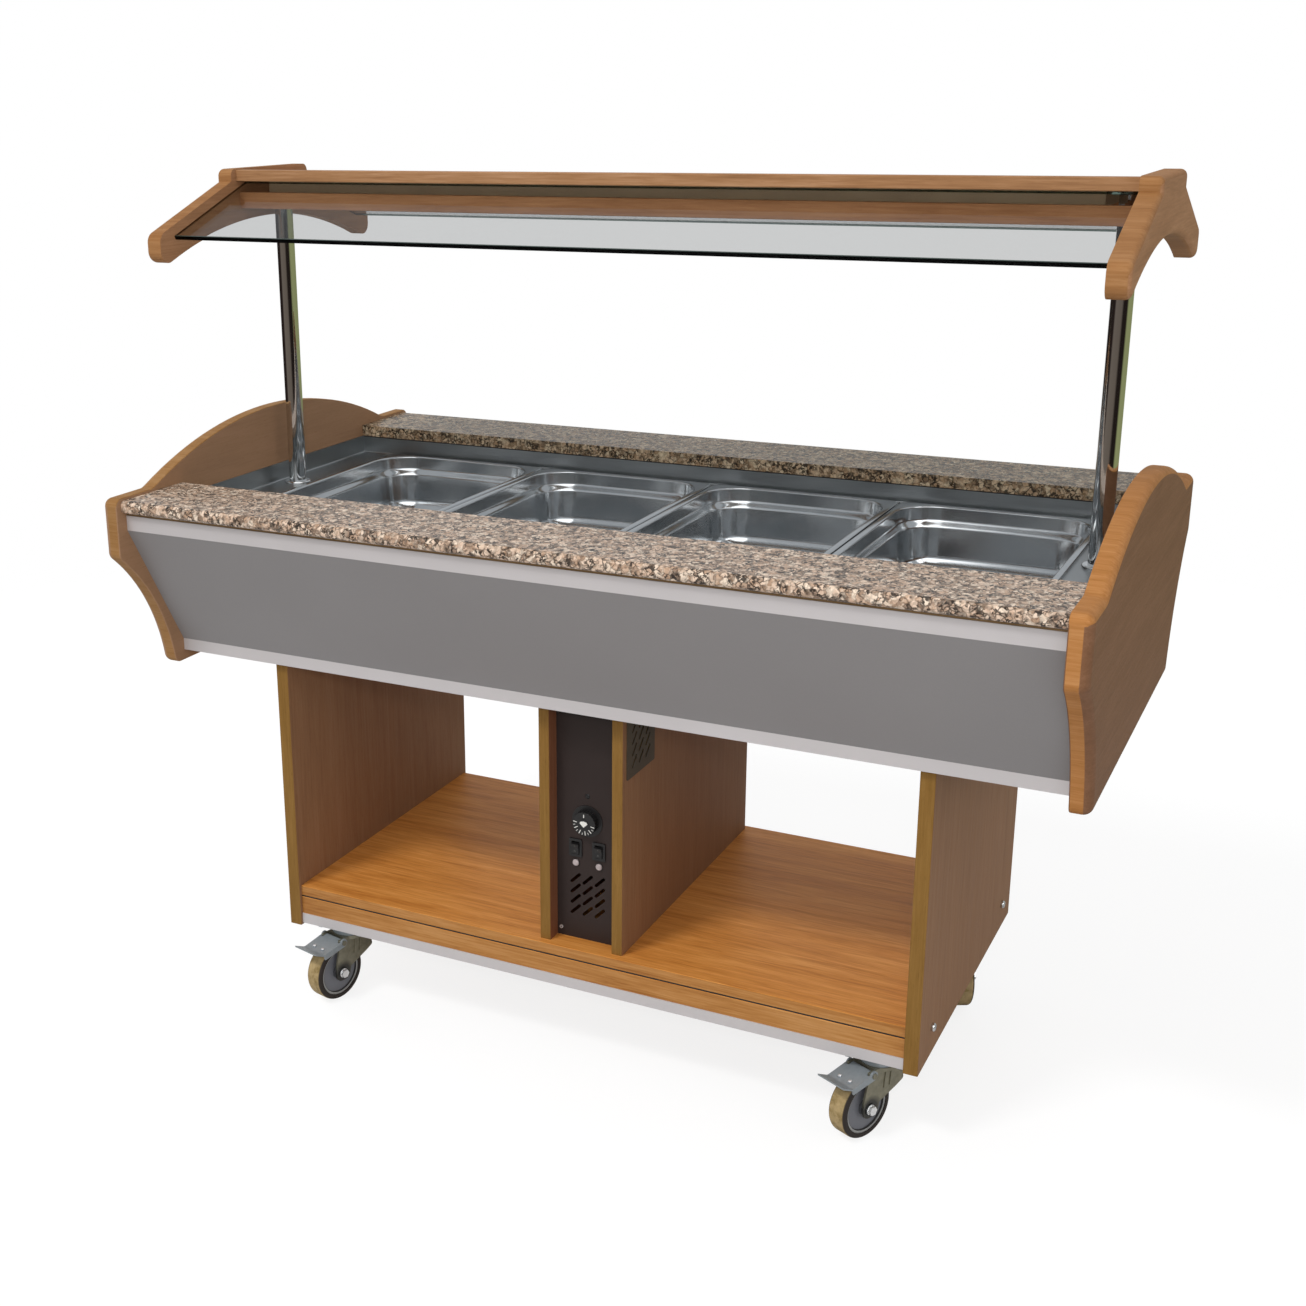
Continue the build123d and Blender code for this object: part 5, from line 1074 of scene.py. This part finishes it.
def lever_grip(grid):
    """A sleeve round the lever's free half: rings of oval section from the open end to the rounded tip."""
    joint = Vector(joints["drain_valve"]["pos_m"])
    x = lever_high.x - GRIP_MIDDLE
    outer = seat("drain_lever", (x, lever_high.y + BEYOND, joint.z), (0, -1, 0))[0].y
    inner = seat("drain_lever", (x, lever_low.y - BEYOND, joint.z), (0, 1, 0))[0].y
    half_y = (outer - inner) / 2 + GRIP_WALL
    half_z = (lever_high.z - lever_low.z) / 2 + GRIP_WALL
    middle = Vector((0, (outer + inner) / 2, joint.z))
    start, end = lever_high.x - GRIP_LENGTH, lever_high.x + GRIP_WALL
    loops = []
    for along, size in GRIP_RINGS:
        loop = []
        for i in range(GRIP_SIDES):
            a = 2 * math.pi * i / GRIP_SIDES
            section = (half_y * size * squarish(math.cos(a)), half_z * size * squarish(math.sin(a)))
            loop.append(grid.verts.new(middle + Vector((min(start + along, end), *section))))
        loops.append(loop)
    for one, two in zip(loops, loops[1:]):
        join(grid, one, two)
    grid.faces.new(loops[0])
    grid.faces.new(loops[-1])


piece("lever_grip", lever_grip, grip_vinyl, "lever_steel", "lever")
print("grip", GRIP_LENGTH, "m long")

# %% [markdown]
# ## Stage and light
# The counter stands on a pale floor in a bright studio, lit from beside the camera, with weaker lamps on
# the other sides so that no face is left dark. The camera sees the studio as white. Polished metal shows
# what is round it, so mirror rays see a room instead: a grey ceiling, dark walls, a white backdrop and an
# olive wall on the right, and a row of bright windows high up, which the pans' bends draw into short
# highlights. A mirrored ray that goes on through the canopy's glass counts as passing light, so the world
# looks for an earlier bounce and shows it the room as well.

# %% floor
FLOOR_RADIUS, FLOOR_DROP = 6.0, 0.0005
FLOOR_FADE = (1.2, 3.2)
FLOOR_GLOW = 0.82
WHITE = (1, 1, 1, 1)


def stage_floor():
    """A round pale floor that keeps the shadow and fades out towards its rim."""
    bpy.ops.mesh.primitive_circle_add(vertices=96, radius=FLOOR_RADIUS, fill_type="NGON",
                                      location=(0, 0, -FLOOR_DROP))
    floor = bpy.context.object
    floor.name = "floor"
    material, tree = blank("pale_floor_paint")
    light = add(tree, "LightPath")
    seen = add(tree, "Math", light.outputs["Is Camera Ray"], light.outputs["Is Transmission Ray"],
               operation="MAXIMUM")
    shadowed = add(tree, "BsdfDiffuse", srgb("#7E7E7E"))
    shown = add(tree, "AddShader", shadowed, add(tree, "Emission", WHITE, FLOOR_GLOW))
    bounce = add(tree, "BsdfDiffuse", srgb("#D2D2D2"))
    lit = add(tree, "MixShader", seen, bounce, shown)
    away = add(tree, "VectorMath", add(tree, "TexCoord").outputs["Object"], operation="LENGTH")
    fade = add(tree, "MapRange", away, *FLOOR_FADE)
    both = add(tree, "MixShader", fade, lit, add(tree, "BsdfTransparent"))
    add(tree, "OutputMaterial", both)
    floor.data.materials.append(material)


stage_floor()
print("floor fades from", *FLOOR_FADE, "m")

# %% room
# Each stop is a share of a turn: 0 is on the left, 0.25 in front, 0.5 on the right and 0.75 behind.
WALLS = ((0.0, "#2A221F"), (0.09, "#2A221F"), (0.13, "#756B62"), (0.29, "#6E645B"), (0.34, "#251E1B"),
         (0.44, "#251E1B"), (0.49, "#9A9F70"), (0.79, "#8E9368"), (0.815, "#FFFFFF"), (0.84, "#FFFFFF"),
         (0.87, "#2A221F"))
WINDOWS = ((0.211, "#000000"), (0.228, "#FFFFFF"), (0.46, "#FFFFFF"), (0.48, "#000000"))
WINDOW_LIGHT = 2.8
# Heights are the upward part of a ray's direction, from where a change begins to where it is whole.
SILL, HEAD = (0.40, 0.48), (0.82, 0.90)
CEILING, GROUND = (0.0, 0.16), (-0.75, -0.35)
AMBIENT = 0.55


def studio_world():
    """White to the camera and through glass, a room in mirrors, and even light on everything else."""
    world = bpy.data.worlds.new("studio")
    bpy.context.scene.world = world
    world.use_nodes = True
    tree = world.node_tree
    tree.nodes.clear()
    way = add(tree, "SeparateXYZ", add(tree, "TexCoord").outputs["Generated"])
    bearing = add(tree, "Math", way.outputs["Y"], way.outputs["X"], operation="ARCTAN2")
    round_share = add(tree, "MapRange", bearing, -math.pi, math.pi)
    walls = add(tree, "ValToRGB", round_share, stops=WALLS)
    above = add(tree, "MapRange", way.outputs["Z"], *CEILING)
    below = add(tree, "MapRange", way.outputs["Z"], *GROUND, 1.0, 0.0)
    room = add(tree, "Mix", above, walls, srgb("#C0C4C8"), data_type="RGBA")
    room = add(tree, "Mix", below, room, srgb("#4A4642"), data_type="RGBA")
    sill = add(tree, "MapRange", way.outputs["Z"], *SILL)
    head = add(tree, "MapRange", way.outputs["Z"], *HEAD, 1.0, 0.0)
    row = add(tree, "Math", sill, head, operation="MULTIPLY")
    strength = add(tree, "Math", row, WINDOW_LIGHT, operation="MULTIPLY")
    wide = add(tree, "ValToRGB", round_share, stops=WINDOWS)
    windows = add(tree, "VectorMath", wide, strength, operation="SCALE")
    room = add(tree, "VectorMath", room, windows, operation="ADD")
    light = add(tree, "LightPath")
    passing = light.outputs["Is Transmission Ray"]
    bounced = add(tree, "Math", light.outputs["Glossy Depth"], 0.5, operation="GREATER_THAN")
    echoed = add(tree, "Math", passing, bounced, operation="MULTIPLY")
    straight = add(tree, "Math", passing, echoed, operation="SUBTRACT")
    mirrored = add(tree, "Math", light.outputs["Is Glossy Ray"], echoed, operation="MAXIMUM")
    even = add(tree, "Mix", mirrored, (AMBIENT, AMBIENT, AMBIENT, 1), room, data_type="RGBA")
    seen = add(tree, "Math", light.outputs["Is Camera Ray"], straight, operation="MAXIMUM")
    shown = add(tree, "Mix", seen, even, WHITE, data_type="RGBA")
    add(tree, "OutputWorld", add(tree, "Background", shown))


studio_world()
print("even light", AMBIENT, "and windows", WINDOW_LIGHT)

# %% lamps
LAMPS = (
    ("key", (-2.7, -5.5, 8.75), (0, 0, 0.85), (1.8, 1.4), 350),
    ("front_top", (-0.5, -3.0, 3.9), (0, 0, 0.7), (2.2, 0.9), 30),
    ("flash", (1.06, -2.6, 1.75), (0, 0, 0.75), (0.3, 0.2), 14),
    ("right_fill", (7.0, -1.6, 2.2), (0.2, 0, 0.7), (3.0, 2.4), 40),
    ("rear_fill", (-0.8, 3.4, 1.2), (0, 0, 0.7), (2.0, 1.4), 26),
    ("left_fill", (-3.4, 0.4, 1.3), (-0.5, 0, 0.7), (1.6, 1.6), 20),
)


def soft_lamp(name, place, target, size, watts):
    """A rectangular area lamp that looks at a point, and that neither the camera nor polish shows."""
    lamp = bpy.data.lights.new(name, "AREA")
    lamp.shape = "RECTANGLE"
    lamp.size, lamp.size_y = size
    lamp.energy = watts
    holder = bpy.data.objects.new(name, lamp)
    holder.location = place
    holder.rotation_euler = (Vector(target) - Vector(place)).to_track_quat("-Z", "Y").to_euler()
    holder.visible_camera = False
    holder.visible_transmission = False
    holder.visible_glossy = False
    bpy.context.collection.objects.link(holder)


for lamp in LAMPS:
    soft_lamp(*lamp)
print("lamps", [lamp[0] for lamp in LAMPS])
